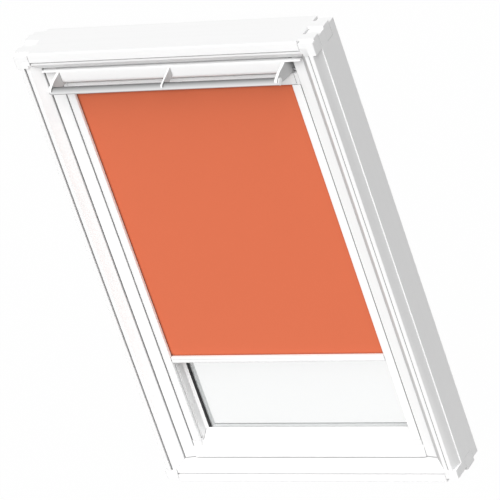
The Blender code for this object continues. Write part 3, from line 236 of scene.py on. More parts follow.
class ShaderTree(NodeTree):
    """A material's nodes, with one Principled shader at its end."""

    def __init__(self, name: str) -> None:
        """Start an empty material of this name."""
        self.material = bpy.data.materials.new(name)
        self.material.use_nodes = True
        super().__init__(self.material.node_tree)
        self.shader = self.node("ShaderNodeBsdfPrincipled")
        self.node("ShaderNodeOutputMaterial", {0: self.shader})
        self.coordinates = self.node("ShaderNodeTexCoord").outputs["Object"]

    def set(self, **values: object) -> None:
        """Feed the Principled shader's sockets, with _ for a space in a name."""
        for key, value in values.items():
            self.feed(self.shader.inputs[key.replace("_", " ")], value)

    def noise(self, kind: Noise) -> Signal:
        """Add a noise, whose values lie round 0.5."""
        place = self.node("ShaderNodeMapping", {"Vector": self.coordinates, "Scale": kind.stretch})
        return self.signal("ShaderNodeTexNoise", {
            "Vector": place, "Scale": kind.scale, "Detail": kind.detail,
        })

    def axes(self) -> tuple[Signal, Signal, Signal]:
        """The X, Y and Z of a point, in metres."""
        split = self.node("ShaderNodeSeparateXYZ", {0: self.coordinates})
        return tuple(Signal(self, output) for output in split.outputs)

    def tint(self, factor: Number, low: Color, high: Color) -> Socket:
        """Mix two colours, the first at a factor of 0 and the second at 1."""
        mix = self.node("ShaderNodeMix", {0: factor, 6: (*low, 1.0), 7: (*high, 1.0)}, data_type="RGBA")
        return mix.outputs[2]

    def painted_gap_shade(self, reach: float, shut: float, free: float) -> Signal:
        """How open a point lies, given as painted shade for the base colour, darker in tight gaps.

        Args:
            reach: How far away a surface still counts, in metres.
            shut: The value in a tight gap.
            free: The share of open sky from which a point counts as open.

        Returns:
            A value from shut to 1.
        """
        sky = self.signal("ShaderNodeAmbientOcclusion", {"Distance": reach}, "AO", samples=GAP_SHADE_SAMPLES)
        return self.signal("ShaderNodeMapRange", {
            "Value": sky, "From Min": GAP_SHADE_SHUT, "From Max": free, "To Min": shut, "To Max": 1.0,
        }, interpolation_type="SMOOTHSTEP")

    def sideways(self) -> Signal:
        """Which side a face looks to: -1 for the left, 1 for the right and 0 for neither."""
        normal = self.signal("ShaderNodeNewGeometry", output="Normal")
        return self.signal("ShaderNodeSeparateXYZ", {0: normal})

    def shade_base(self, factor: Number) -> None:
        """Multiply what feeds the base colour by a factor, which paints shade or light into it."""
        base = self.shader.inputs["Base Color"].links[0].from_socket
        self.set(Base_Color=self.node("ShaderNodeVectorMath", {0: base, "Scale": factor}, operation="SCALE"))

    def ramp(self, place: Number, stops: Stops, between: str = "LINEAR") -> Signal:
        """Read a tone off a row of stops.

        Args:
            place: Where to read, from 0 to 1.
            stops: Pairs of a place and its tone, in order.
            between: How the tone moves from one stop to the next.

        Returns:
            The tone.
        """
        node = self.node("ShaderNodeValToRGB", {0: place})
        node.color_ramp.interpolation = between
        marks = node.color_ramp.elements
        marks.remove(marks[-1])
        for index, (spot, tone) in enumerate(stops):
            mark = marks.new(spot) if index else marks[0]
            mark.position = spot
            mark.color = (tone, tone, tone, 1.0)
        return Signal(self, node.outputs[0])

    def bump(self, height: Number, strength: float, distance: float) -> None:
        """Raise the surface by a height from 0 to 1, where 1 measures a distance in metres."""
        relief = {"Height": height, "Strength": strength, "Distance": distance}
        self.set(Normal=self.node("ShaderNodeBump", relief))


def shaded(color: Color, factor: float) -> Color:
    """A colour made lighter or darker by a factor."""
    return tuple(min(1.0, channel * factor) for channel in color)


@dataclass(frozen=True)
class Finish:
    """A surface finish, made into one material the first time that it is used.

    Its colour runs between two shades and its roughness varies by gloss, both with the drift. Relief is
    the height of the fine pattern, in metres. Shade is painted into the base colour where a point has
    less open sky than the free share within the gap reach, down to the gap tone.
    """

    name: str
    slot: str
    color: Color
    roughness: float
    # Painted shade in gaps: its darkest tone, how far away a surface still counts in metres, and the share of
    # open sky that counts as open.
    gap_shade_tone: float = 0.35
    gap_shade_reach: float = 0.005
    gap_shade_free: float = 0.72
    shades: Pair = (0.98, 1.015)
    gloss: float = 0.04
    metallic: float = 0.0
    strength: float = 0.3
    relief: float = 0.00006
    drift: Noise = Noise(6.0)
    fine: Noise = Noise(650.0)

    def dress(self, tree: ShaderTree) -> None:
        """Let tone and gloss drift slowly over a fine relief."""
        drift = tree.noise(self.drift)
        self.cover(tree, drift, drift, tree.noise(self.fine))

    def cover(self, tree: ShaderTree, tone: Signal, gloss: Signal, height: Signal) -> None:
        """Vary the colour, the gloss and the height of the surface, and paint shade into its colour in gaps.

        Args:
            tree: The material's tree.
            tone: 0 for the first shade, 1 for the second.
            gloss: 0 where the surface is smoothest, 1 where it is roughest.
            height: 0 for its lowest points, 1 for its highest.
        """
        low, high = (shaded(self.color, share) for share in self.shades)
        tree.set(Base_Color=tree.tint(tone, low, high), Metallic=self.metallic,
                 Roughness=gloss.blend(self.roughness - self.gloss, self.roughness + self.gloss))
        # Painted shade: the base colour darkens in tight gaps that ambient occlusion finds.
        tree.shade_base(tree.painted_gap_shade(self.gap_shade_reach, self.gap_shade_tone, self.gap_shade_free))
        tree.bump(height, self.strength, self.relief)

    def material(self) -> bpy.types.Material:
        """The finish's material, made once."""
        known = bpy.data.materials.get(self.name)
        if known is not None:
            return known
        tree = ShaderTree(self.name)
        tree.set(Base_Color=(*self.color, 1.0), Roughness=self.roughness)
        self.dress(tree)
        return tree.material


@dataclass(frozen=True)
class LacqueredTimber(Finish):
    """White lacquer over laminated softwood, its grain just showing, with painted shade on sideways faces."""

    shades: Pair = (0.975, 1.02)
    gloss: float = 0.05
    strength: float = 0.25
    relief: float = 0.00012
    drift: Noise = Noise(2.2)
    fine: Noise = Noise(420.0, 1.0)
    grain: Grain = Grain.UPRIGHT
    grain_share: float = 0.7
    # Painted shade by which way a face looks: place 0 looks to the left, 1 to the right; each stop is a place
    # and a tone.
    painted_turn_shades: Stops = ((0.0, 0.75), (0.13, 0.62), (0.2, 0.66), (0.38, 1.0),
                         (0.94, 1.0), (0.98, 0.82), (0.995, 0.84), (1.0, 0.95))

    def dress(self, tree: ShaderTree) -> None:
        """Long grain under the lacquer, a fine sprayed surface, and painted shade on faces that look along X.
        """
        grain = tree.noise(self.grain.value)
        tone, height = (grain.mixed(tree.noise(kind), self.grain_share) for kind in (self.drift, self.fine))
        self.cover(tree, tone, grain, height)
        # Painted shade: the base colour darkens on faces that look along X.
        tree.shade_base(tree.ramp(tree.sideways() * 0.5 + 0.5, self.painted_turn_shades))


@dataclass(frozen=True)
class PowderCoat(Finish):
    """Smooth coated metal with a faint orange peel."""


@dataclass(frozen=True)
class ChannelCoatWithPaintedShadow(PowderCoat):
    """The guide channels' finish, with a painted shadow line where the right one meets its stile."""

    shadow_line_start: float = 0.0
    shadow_line_tone: float = 0.03

    def dress(self, tree: ShaderTree) -> None:
        """Paint a shadow line on the outermost strip."""
        super().dress(tree)
        tree.shade_base(tree.axes()[0].above(self.shadow_line_start).blend(1.0, self.shadow_line_tone))


@dataclass(frozen=True)
class SatinMetal(Finish):
    """Anodised aluminium, drawn along X."""

    shades: Pair = (0.92, 1.05)
    gloss: float = 0.06
    metallic: float = 1.0
    strength: float = 0.2
    relief: float = 0.00003
    drift: Noise = Noise(30.0)
    fine: Noise = Noise(1.0, 3.0, (4.0, 2600.0, 2600.0))
    streak_share: float = 2 / 3

    def dress(self, tree: ShaderTree) -> None:
        """Fine drawing lines along the profile, and haze in the gloss."""
        streak = tree.noise(self.fine)
        self.cover(tree, streak, streak.mixed(tree.noise(self.drift), self.streak_share), streak)


@dataclass(frozen=True)
class PaintedReflectionBar(SatinMetal):
    """A satin bar with a painted reflection: a bright stripe along its front, and painted shade above and
    below it.
    """

    centre: Pair = (0.0, 0.0)
    # Stops of the painted reflection and shade round the bar, each a place and a tone: a dark lower edge, the
    # bright stripe, and the dark upper side.
    painted_underside: Pair = (0.40, 0.40)
    painted_band: Pair = (0.45, 0.93)
    top: Pair = (0.74, 0.30)

    def dress(self, tree: ShaderTree) -> None:
        """Paint the reflection and shade round the bar's axis, from straight down over the front to straight
        up.
        """
        super().dress(tree)
        _, y, z = tree.axes()
        rise = z - self.centre[1]
        turn = rise.math("ARCTAN2", rise, self.centre[0] - y)
        tree.shade_base(tree.ramp(turn * (1.0 / tau) + 0.5, (self.painted_underside, self.painted_band, self.top), "EASE"))


@dataclass(frozen=True)
class ZincSteel(Finish):
    """Zinc plated steel with its mottled passivation."""

    shades: Pair = (0.82, 1.12)
    gloss: float = 0.08
    metallic: float = 1.0
    strength: float = 0.15
    relief: float = 0.00004
    drift: Noise = Noise(240.0, 4.0)
    fine: Noise = Noise(240.0, 4.0)


@dataclass(frozen=True)
class MouldedPlastic(Finish):
    """Injection moulded plastic with slight flow marks and a spark-eroded surface."""

    shades: Pair = (0.98, 1.01)
    gloss: float = 0.05
    strength: float = 0.25
    relief: float = 0.00005
    drift: Noise = Noise(14.0, 3.0, (1.0, 1.0, 3.0))
    fine: Noise = Noise(1500.0)


@dataclass(frozen=True)
class BracketPlastic(MouldedPlastic):
    """The moulded plastic of the thin brackets, with painted shade on their sides that look along X."""

    # Painted shade on sides: the tone of faces that look along X, and how far along X a face must look.
    painted_side_shade: float = 0.60
    painted_side_limit: float = 0.7

    def dress(self, tree: ShaderTree) -> None:
        """Paint shade on the faces that look along X."""
        super().dress(tree)
        tree.shade_base(tree.sideways().absolute().above(self.painted_side_limit).blend(1.0, self.painted_side_shade))


@dataclass(frozen=True)
class SealRubber(Finish):
    """Matt extruded rubber with a dusty bloom."""

    shades: Pair = (0.7, 1.5)
    gloss: float = 0.08
    relief: float = 0.00008
    drift: Noise = Noise(90.0, 4.0)
    fine: Noise = Noise(900.0)


@dataclass(frozen=True)
class PlainWeave(Finish):
    """Plain woven cloth: threads over and under along X and Z."""

    shades: Pair = (0.92, 1.06)
    strength: float = 0.35
    relief: float = 0.00010
    drift: Noise = Noise(5.0)
    thread: float = 0.00055
    thread_share: float = 0.8
    slub: Noise = Noise(1.0, 2.0, (70.0, 70.0, 1400.0))
    pick: Noise = Noise(1.0, 2.0, (1400.0, 70.0, 70.0))
    tone_shares: tuple[float, ...] = (0.45, 0.2, 0.2, 0.15)
    sheen: float = 0.08
    shine: float = 0.25

    def dress(self, tree: ShaderTree) -> None:
        """Warp and weft, slubs in the yarn and a slow drift in the dye."""
        x, _, z = tree.axes()
        warp = (x * (pi / self.thread)).sine()
        weft = (z * (pi / self.thread)).sine()
        height = (warp * weft).above(0.0).blend(warp.absolute(), weft.absolute())
        slub = tree.noise(self.slub)
        parts = (height, slub, tree.noise(self.pick), tree.noise(self.drift))
        tone = sum(part * share for part, share in zip(parts, self.tone_shares))
        self.cover(tree, tone, slub, height.mixed(slub, self.thread_share))
        tree.set(Sheen_Weight=self.sheen, Specular_IOR_Level=self.shine)


@dataclass(frozen=True)
class ClearGlass(Finish):
    """Float glass that is nearly clear and shines at a glancing angle."""

    gloss: float = 0.02
    drift: Noise = Noise(11.0, 3.0)
    clear: float = 0.02
    glancing: float = 0.5
    turn: float = 0.25
    index: float = 1.5

    def dress(self, tree: ShaderTree) -> None:
        """Thin where it is looked through, and faint marks on its surface."""
        facing = tree.signal("ShaderNodeLayerWeight", {"Blend": self.turn}, "Fresnel")
        tree.set(Alpha=facing.blend(self.clear, self.glancing), IOR=self.index,
                 Roughness=self.roughness + tree.noise(self.drift) * self.gloss)


def white_timber(grain: Grain, gap_shade_tone: float, gap_shade_reach: float) -> LacqueredTimber:
    """The timber's white lacquer, with its grain one way or the other and its own painted shade in gaps."""
    return LacqueredTimber(f"white_lacquer_{grain.name.lower()}", "white_lacquer", (0.92, 0.92, 0.92), 0.45,
                           gap_shade_tone, gap_shade_reach, grain=grain)


# The figures after the grain set each timber's painted shade in gaps: its darkest tone and its reach in
# metres.
UPRIGHT_TIMBER = white_timber(Grain.UPRIGHT, 0.42, 0.010)
CROSS_TIMBER = white_timber(Grain.ACROSS, 0.5, 0.004)
WHITE_COAT = PowderCoat("white_coated_aluminium", "white_aluminium", (0.93, 0.93, 0.93), 0.42, gap_shade_tone=0.4)
GREY_CLADDING = PowderCoat("grey_cladding_sheet", "cladding", (0.36, 0.37, 0.385), 0.48, metallic=0.25)
SATIN_BAR = SatinMetal("satin_anodised_bar", "satin_aluminium", (0.72, 0.73, 0.74), 0.34)
# Base colour of the control bar. Its painted reflection and shade scale it down away from the bright stripe.
PAINTED_REFLECTION_BASE = (0.92, 0.925, 0.93)
SPACER_METAL = PowderCoat("matt_spacer_metal", "spacer_metal", (0.95, 0.955, 0.96), 0.5, gap_shade_tone=1.0)
ZINC = ZincSteel("zinc_plated_steel", "steel", (0.62, 0.63, 0.64), 0.34)
WHITE_PLASTIC = MouldedPlastic("white_moulded_plastic", "white_plastic", (0.90, 0.90, 0.90), 0.45)
BRACKET_PLASTIC = BracketPlastic("white_bracket_plastic", "white_plastic", (0.90, 0.90, 0.90), 0.45)
PALE_RUBBER = SealRubber("pale_seal_rubber", "rubber", (0.42, 0.42, 0.42), 0.7, gap_shade_tone=0.6)
RUBBER = SealRubber("black_seal_rubber", "rubber", (0.018, 0.018, 0.019), 0.72)
# The cloth's painted shade in gaps is strong and darkens it along its edges by the channels, the casing and
# the bar.
CLOTH = PlainWeave("orange_blackout_cloth", "orange_fabric", (0.70, 0.161, 0.074), 0.85, gap_shade_tone=0.1,
                   gap_shade_reach=0.010, gap_shade_free=0.92)
GLASS = ClearGlass("clear_float_glass", "clear_glass", (0.93, 0.965, 0.96), 0.03)


def settle(piece: Piece, body: Body | None, finish: Finish, replaced: Iterable[str] = ()) -> None:
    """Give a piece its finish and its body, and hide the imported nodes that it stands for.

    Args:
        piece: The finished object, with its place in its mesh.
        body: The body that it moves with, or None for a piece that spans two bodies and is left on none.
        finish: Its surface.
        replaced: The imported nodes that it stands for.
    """
    piece.data.materials.clear()
    piece.data.materials.append(finish.material())
    if body is not None:
        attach(piece, body.value)
    nodes = list(replaced)
    if nodes:
        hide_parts(*nodes)
    LOG.info("%s on %s for %s", piece.name, body.value if body else "two bodies", nodes or "no node")


def linked(name: str, data: bpy.types.ID) -> Piece:
    """Put a mesh, a camera or a lamp into the scene.

    Args:
        name: The object's name.
        data: What it holds.

    Returns:
        The object.
    """
    item = bpy.data.objects.new(name, data)
    bpy.context.scene.collection.objects.link(item)
    return item


def new_object(name: str, data: MeshData) -> Piece:
    """Turn mesh data into a linked object with smooth faces between sharp edges.

    Args:
        name: The object's name.
        data: The mesh data, which is freed.

    Returns:
        The object.
    """
    mesh = bpy.data.meshes.new(name)
    data.to_mesh(mesh)
    data.free()
    mesh.shade_smooth()
    mesh.set_sharp_from_angle(angle=SHARP_ANGLE)
    return linked(name, mesh)


@dataclass(frozen=True)
class Edge:
    """How far a piece's edges are eased, and in how many steps."""

    width: float
    steps: int = 2

    def ease(self, piece: Piece) -> None:
        """Round a piece's sharp edges and bake the result into its mesh.

        Args:
            piece: The object whose edges are eased.
        """
        bevel = piece.modifiers.new("eased_edges", "BEVEL")
        bevel.width = self.width
        bevel.segments = self.steps
        bevel.limit_method = "ANGLE"
        bevel.angle_limit = SHARP_ANGLE
        bevel.harden_normals = True
        bake(piece)


def bake(piece: Piece) -> None:
    """Swap an object's mesh for what its modifiers make of it, and remove them.

    Args:
        piece: The object to bake.
    """
    graph = bpy.context.evaluated_depsgraph_get()
    mesh = bpy.data.meshes.new_from_object(piece.evaluated_get(graph))
    piece.modifiers.clear()
    piece.data = mesh
    mesh.name = piece.name


def eased_copy(node: str, name: str, edge: Edge) -> Piece:
    """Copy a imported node, join its loose triangles into flat faces and ease its edges.

    Args:
        node: The node to copy.
        name: The new piece's name.
        edge: How its edges are eased.

    Returns:
        The new object.
    """
    data = bmesh.new()
    data.from_mesh(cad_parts[node].data)
    bmesh.ops.remove_doubles(data, verts=data.verts, dist=MERGE_DISTANCE)
    bmesh.ops.dissolve_limit(data, angle_limit=FLAT_ANGLE, verts=data.verts, edges=data.edges)
    piece = new_object(name, data)
    edge.ease(piece)
    return piece


def node_box(node: str) -> tuple[Vector, Vector]:
    """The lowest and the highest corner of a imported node."""
    low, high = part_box(node)
    return Vector(low), Vector(high)


def thicken(piece: Piece, thickness: float) -> None:
    """Give a sheet its thickness, half to each side.

    Args:
        piece: The sheet.
        thickness: How thick it gets, in metres.
    """
    body = piece.modifiers.new("thickness", "SOLIDIFY")
    body.thickness = thickness
    body.offset = 0.0
    bake(piece)


def both(stem: str) -> tuple[str, str]:
    """The names of a left and right pair."""
    return f"{stem}_left", f"{stem}_right"


def dress_nodes(nodes: Iterable[str], word: str, body: Body, finish: Finish, edge: Edge) -> None:
    """Replace nodes by eased copies that are dressed alike, with a word added to their names."""
    for node in nodes:
        settle(eased_copy(node, f"{node}_{word}", edge), body, finish, (node,))


class GeometryTree(NodeTree):
    """A geometry node group with named inputs that ends as a plain mesh."""

    KINDS = {float: "NodeSocketFloat", int: "NodeSocketInt", tuple: "NodeSocketVector",
             Piece: "NodeSocketObject", bpy.types.Material: "NodeSocketMaterial"}

    def __init__(self, name: str) -> None:
        """Start an empty group of this name."""
        super().__init__(bpy.data.node_groups.new(name, "GeometryNodeTree"))
        self.tree.interface.new_socket(name="Geometry", in_out="OUTPUT", socket_type="NodeSocketGeometry")
        self.entry = self.node("NodeGroupInput")
        self.values: dict[str, object] = {}

    def given(self, name: str, value: object) -> Socket:
        """Add a named input.

        Args:
            name: What the input is called.
            value: Its value, which also sets the input's kind.

        Returns:
            The input's socket inside the group.
        """
        kind = next(word for form, word in self.KINDS.items() if isinstance(value, form))
        item = self.tree.interface.new_socket(name=name, in_out="INPUT", socket_type=kind)
        self.values[item.identifier] = value
        return self.entry.outputs[name]

    def placed(self, geometry: Node, place: Vector, turn: Point,
               name: str = "Place") -> Node:
        """Turn geometry, then move it to a place that is a named input."""
        return self.node("GeometryNodeTransform", {
            "Geometry": geometry, "Translation": self.given(name, tuple(place)), "Rotation": turn,
        })

    def finish(self, name: str, geometry: Node, finish: Finish) -> Piece:
        """Realise the geometry, give it its material and turn it into a plain object.

        Args:
            name: The object's name.
            geometry: The last geometry node.
            finish: The surface finish.

        Returns:
            An object with a plain mesh and no modifier.
        """
        material = self.given("Finish", finish.material())
        real = self.node("GeometryNodeRealizeInstances", {0: geometry})
        dressed = self.node("GeometryNodeSetMaterial", {"Geometry": real, "Material": material})
        self.node("NodeGroupOutput", {0: dressed})
        piece = linked(name, bpy.data.meshes.new(name))
        modifier = piece.modifiers.new(name, "NODES")
        modifier.node_group = self.tree
        for identifier, value in self.values.items():
            modifier[identifier] = value
        bake(piece)
        return piece


def ring(loop: list) -> list[tuple]:
    """Each point of a closed loop with the one after it."""
    return list(zip(loop, loop[1:] + loop[:1]))


@dataclass(frozen=True)
class ScrewHead:
    """A countersunk cross-head screw, seen from its head."""

    radius: float
    proud: float
    steps: int = 16
    shoulder_share: float = 0.94
    crown_share: float = 0.72
    recess_share: float = 0.62
    arm_share: float = 0.17

    def build(self, axis: Vector) -> Piece:
        """Make one head that points along an axis, to be repeated.

        Args:
            axis: The way the head faces.

        Returns:
            A source object at the origin.
        """
        data = bmesh.new()
        rim = self.circle(data, self.radius, -self.proud)
        shoulder = self.circle(data, self.radius * self.shoulder_share, self.proud * 0.6)
        crown = self.circle(data, self.radius * self.crown_share, self.proud)
        recess = self.cross(data, self.proud)
        floor = self.cross(data, -self.proud)
        for low, high in ((rim, shoulder), (shoulder, crown), (recess, floor)):
            self.join(data, low, high)
        bmesh.ops.triangle_fill(data, use_beauty=True, edges=self.loop_edges(data, crown, recess))
        data.faces.new(floor)
        data.faces.new(list(reversed(rim)))
        bmesh.ops.recalc_face_normals(data, faces=data.faces)
        turn = Vector((0.0, 0.0, 1.0)).rotation_difference(axis)
        bmesh.ops.transform(data, matrix=turn.to_matrix().to_4x4(), verts=data.verts)
        head = new_object("screw_head_source", data)
        head.hide_render = True
        return head

    def circle(self, data: MeshData, radius: float, height: float) -> list:
        """Points of a circle at a height."""
        angles = [tau * i / self.steps for i in range(self.steps)]
        return [data.verts.new((radius * cos(a), radius * sin(a), height)) for a in angles]

    def cross(self, data: MeshData, height: float) -> list:
        """Add the cross recess at a height, three points to each quarter.

        Args:
            data: The mesh data that gets the points.
            height: Their height.

        Returns:
            The points in order.
        """
        reach = self.radius * self.recess_share
        half = self.radius * self.arm_share
        points = []
        for quarter in range(4):
            turn = Matrix.Rotation(quarter * pi / 2, 3, "Z")
            for x, y in ((reach, -half), (reach, half), (half, half)):
                spot = turn @ Vector((x, y, 0.0))
                points.append(data.verts.new((spot.x, spot.y, height)))
        return points

    def join(self, data: MeshData, low: list, high: list) -> None:
        """Bridge two closed loops that have as many points."""
        for (a, b), (d, c) in zip(ring(low), ring(high)):
            data.faces.new((a, b, c, d))

    def loop_edges(self, data: MeshData, *loops: list) -> list:
        """The edges along closed loops, added where there are none yet."""
        return [data.edges.get(pair) or data.edges.new(pair) for loop in loops for pair in ring(loop)]


@dataclass(frozen=True)
class Row:
    """A row of screws: where it starts and ends, how many there are and the way they face."""

    name: str
    body: Body
    start: Vector
    end: Vector
    count: int
    axis: Vector

    def build(self, head: ScrewHead, seed: int) -> None:
        """Set the heads out along the row, each turned at random.

        Args:
            head: The screw head.
            seed: The seed of the turns.
        """
        source = head.build(self.axis)
        tree = GeometryTree(self.name)
        gap = (self.end - self.start) / (self.count - 1)
        line = tree.node("GeometryNodeMeshLine", {
            "Count": tree.given("Count", self.count),
            "Start Location": tree.given("Start", tuple(self.start)),
            "Offset": tree.given("Gap", tuple(gap)),
        }, mode="OFFSET")
        info = tree.node("GeometryNodeObjectInfo", {"Object": tree.given("Head", source)})
        spin = tree.node("FunctionNodeRandomValue", {
            2: 0.0, 3: tau, "Seed": tree.given("Seed", seed),
        }, data_type="FLOAT")
        turn = tree.node("FunctionNodeAxisAngleToRotation", {
            "Axis": tree.given("Axis", tuple(self.axis)), "Angle": spin.outputs[1],
        })
        heads = tree.node("GeometryNodeInstanceOnPoints", {
            "Points": line, "Instance": info.outputs["Geometry"], "Rotation": turn,
        })
        piece = tree.finish(self.name, heads, ZINC)
        bpy.data.objects.remove(source, do_unlink=True)
        settle(piece, self.body, ZINC)


@dataclass
class TimberFrame:
    """The fixed frame: head, sill and posts of white timber."""

    edge: Edge = Edge(0.0007)

    def build(self) -> None:
        """Dress the four members."""
        dress_nodes(both("frame_post"), "timber", Body.FRAME, UPRIGHT_TIMBER, self.edge)
        dress_nodes(("frame_head", "frame_sill"), "timber", Body.FRAME, CROSS_TIMBER, self.edge)


@dataclass
class Cladding:
    """The folded outer covers of frame and sash, and the screws that hold them."""

    edge: Edge = Edge(0.0006)
    head: ScrewHead = ScrewHead(0.0036, 0.0007)
    end_gap: float = 0.060
    side_count: int = 5
    cross_count: int = 3

    def build(self) -> None:
        """Dress the covers and set out their screws."""
        dress_nodes(("head_cover", "sill_cover") + both("side_cover"), "sheet", Body.FRAME, GREY_CLADDING,
                    self.edge)
        dress_nodes(("sash_cover_top", "sash_cover_bottom") + both("sash_cover"), "sheet", Body.SASH,
                    GREY_CLADDING, self.edge)
        for seed, node in enumerate(("head_cover", "sill_cover")):
            self.row(node, "X", self.cross_count, seed)
        for seed, node in enumerate(both("side_cover"), 2):
            self.row(node, "Z", self.side_count, seed)

    def row(self, node: str, axis: str, count: int, seed: int) -> None:
        """Set a row of screws along the middle of a frame cover, facing the roof side.

        Args:
            node: The cover's node.
            axis: The way that it runs, X or Z.
            count: How many screws it has.
            seed: The seed of their turns.
        """
        low, high = node_box(node)
        centre = (low + high) / 2
        index = "XYZ".index(axis)
        start, end = centre.copy(), centre.copy()
        start[index] = low[index] + self.end_gap
        end[index] = high[index] - self.end_gap
        start.y = end.y = high.y
        outward = Vector((0.0, 1.0, 0.0))
        Row(f"{node}_screws", Body.FRAME, start, end, count, outward).build(self.head, seed)


@dataclass
class Sash:
    """The pivoting sash: rails, stiles and the seal round it."""

    edge: Edge = Edge(0.0008, 3)
    seal_edge: Edge = Edge(0.0003)

    def build(self) -> None:
        """Dress the timber and the seal."""
        dress_nodes(both("sash_stile"), "timber", Body.SASH, UPRIGHT_TIMBER, self.edge)
        dress_nodes(("sash_top_rail", "sash_bottom_rail"), "timber", Body.SASH, CROSS_TIMBER, self.edge)
        dress_nodes(("sash_seal",), "rubber", Body.SASH, PALE_RUBBER, self.seal_edge)


@dataclass
class Glazing:
    """The double glazed unit and its gasket."""

    arris: Edge = Edge(0.0004, 1)
    trim_edge: Edge = Edge(0.0003)

    def build(self) -> None:
        """Dress the panes, the spacer between them and the gasket."""
        dress_nodes(("inner_pane", "outer_pane"), "glass", Body.SASH, GLASS, self.arris)
        dress_nodes(("pane_spacer",), "profile", Body.SASH, SPACER_METAL, self.trim_edge)
        dress_nodes(("glazing_gasket",), "rubber", Body.SASH, RUBBER, self.trim_edge)


@dataclass
class PivotsAndLock:
    """The pivot plates at half height, and the lock at the top."""

    edge: Edge = Edge(0.0004)
    head: ScrewHead = ScrewHead(0.0034, 0.0003)
    screw_gap: float = 0.011
    thickness: float = 0.0025
    first_seed: int = 10

    def build(self) -> None:
        """Dress the plates and bolt, and fix the plates with screws."""
        dress_nodes(both("pivot_pin_plate") + ("striker_plate",), "steel", Body.FRAME, ZINC, self.edge)
        dress_nodes(both("pivot_bush_plate") + ("lock_case",), "steel", Body.SASH, ZINC, self.edge)
        dress_nodes(both("flap_pin"), "steel", Body.SASH, ZINC, self.edge)
        dress_nodes(("latch_bolt",), "steel", Body.LATCH, ZINC, self.edge)
        plates = [(node, Body.FRAME, True) for node in both("pivot_pin_plate")]
        plates += [(node, Body.SASH, False) for node in both("pivot_bush_plate")]
        for seed, (node, body, inner) in enumerate(plates, self.first_seed):
            self.fix(node, body, inner, seed)

    def fix(self, node: str, body: Body, inner: bool, seed: int) -> None:
        """Fix a pivot plate with a screw near each end.

        Args:
            node: The plate's node.
            body: The body that it rides on.
            inner: True where the plate's open face looks towards the middle of the window.
            seed: The seed of the screws' turns.
        """
        low, high = node_box(node)
        left = low.x + high.x < 0
        towards = 1.0 if left else -1.0
        face = low.x if left else high.x
        if inner:
            face += towards * self.thickness
        axis = Vector((towards if inner else -towards, 0.0, 0.0))
        y = (low.y + high.y) / 2
        start = Vector((face, y, low.z + self.screw_gap))
        end = Vector((face, y, high.z - self.screw_gap))
        Row(f"{node}_screws", body, start, end, 2, axis).build(self.head, seed)


def turned(name: str, profile: list[tuple[float, float]], centre: Vector,
           steps: int = 64) -> Piece:
    """Turn a closed (along, radius) profile round the X axis through a centre.

    Args:
        name: The object's name.
        profile: Its points. One that starts and ends on the axis is solid, any other is a tube.
        centre: A point on the axis.
        steps: How many flats go round.

    Returns:
        The turned object.
    """
    data = bmesh.new()
    rows = []
    for along, radius in profile:
        angles = [tau * i / steps for i in range(steps)] if radius else [0.0]
        spots = [Vector((along, radius * cos(a), radius * sin(a))) for a in angles]
        rows.append([data.verts.new(centre + spot) for spot in spots])
    pairs = list(zip(rows, rows[1:]))
    if profile[0][1] or profile[-1][1]:
        pairs.append((rows[-1], rows[0]))
    for first, second in pairs:
        for i in range(steps):
            j = (i + 1) % steps
            corners = [row[k % len(row)] for row, k in ((first, i), (first, j), (second, j), (second, i))]
            data.faces.new(list(dict.fromkeys(corners)))
    bmesh.ops.recalc_face_normals(data, faces=data.faces)
    return new_object(name, data)


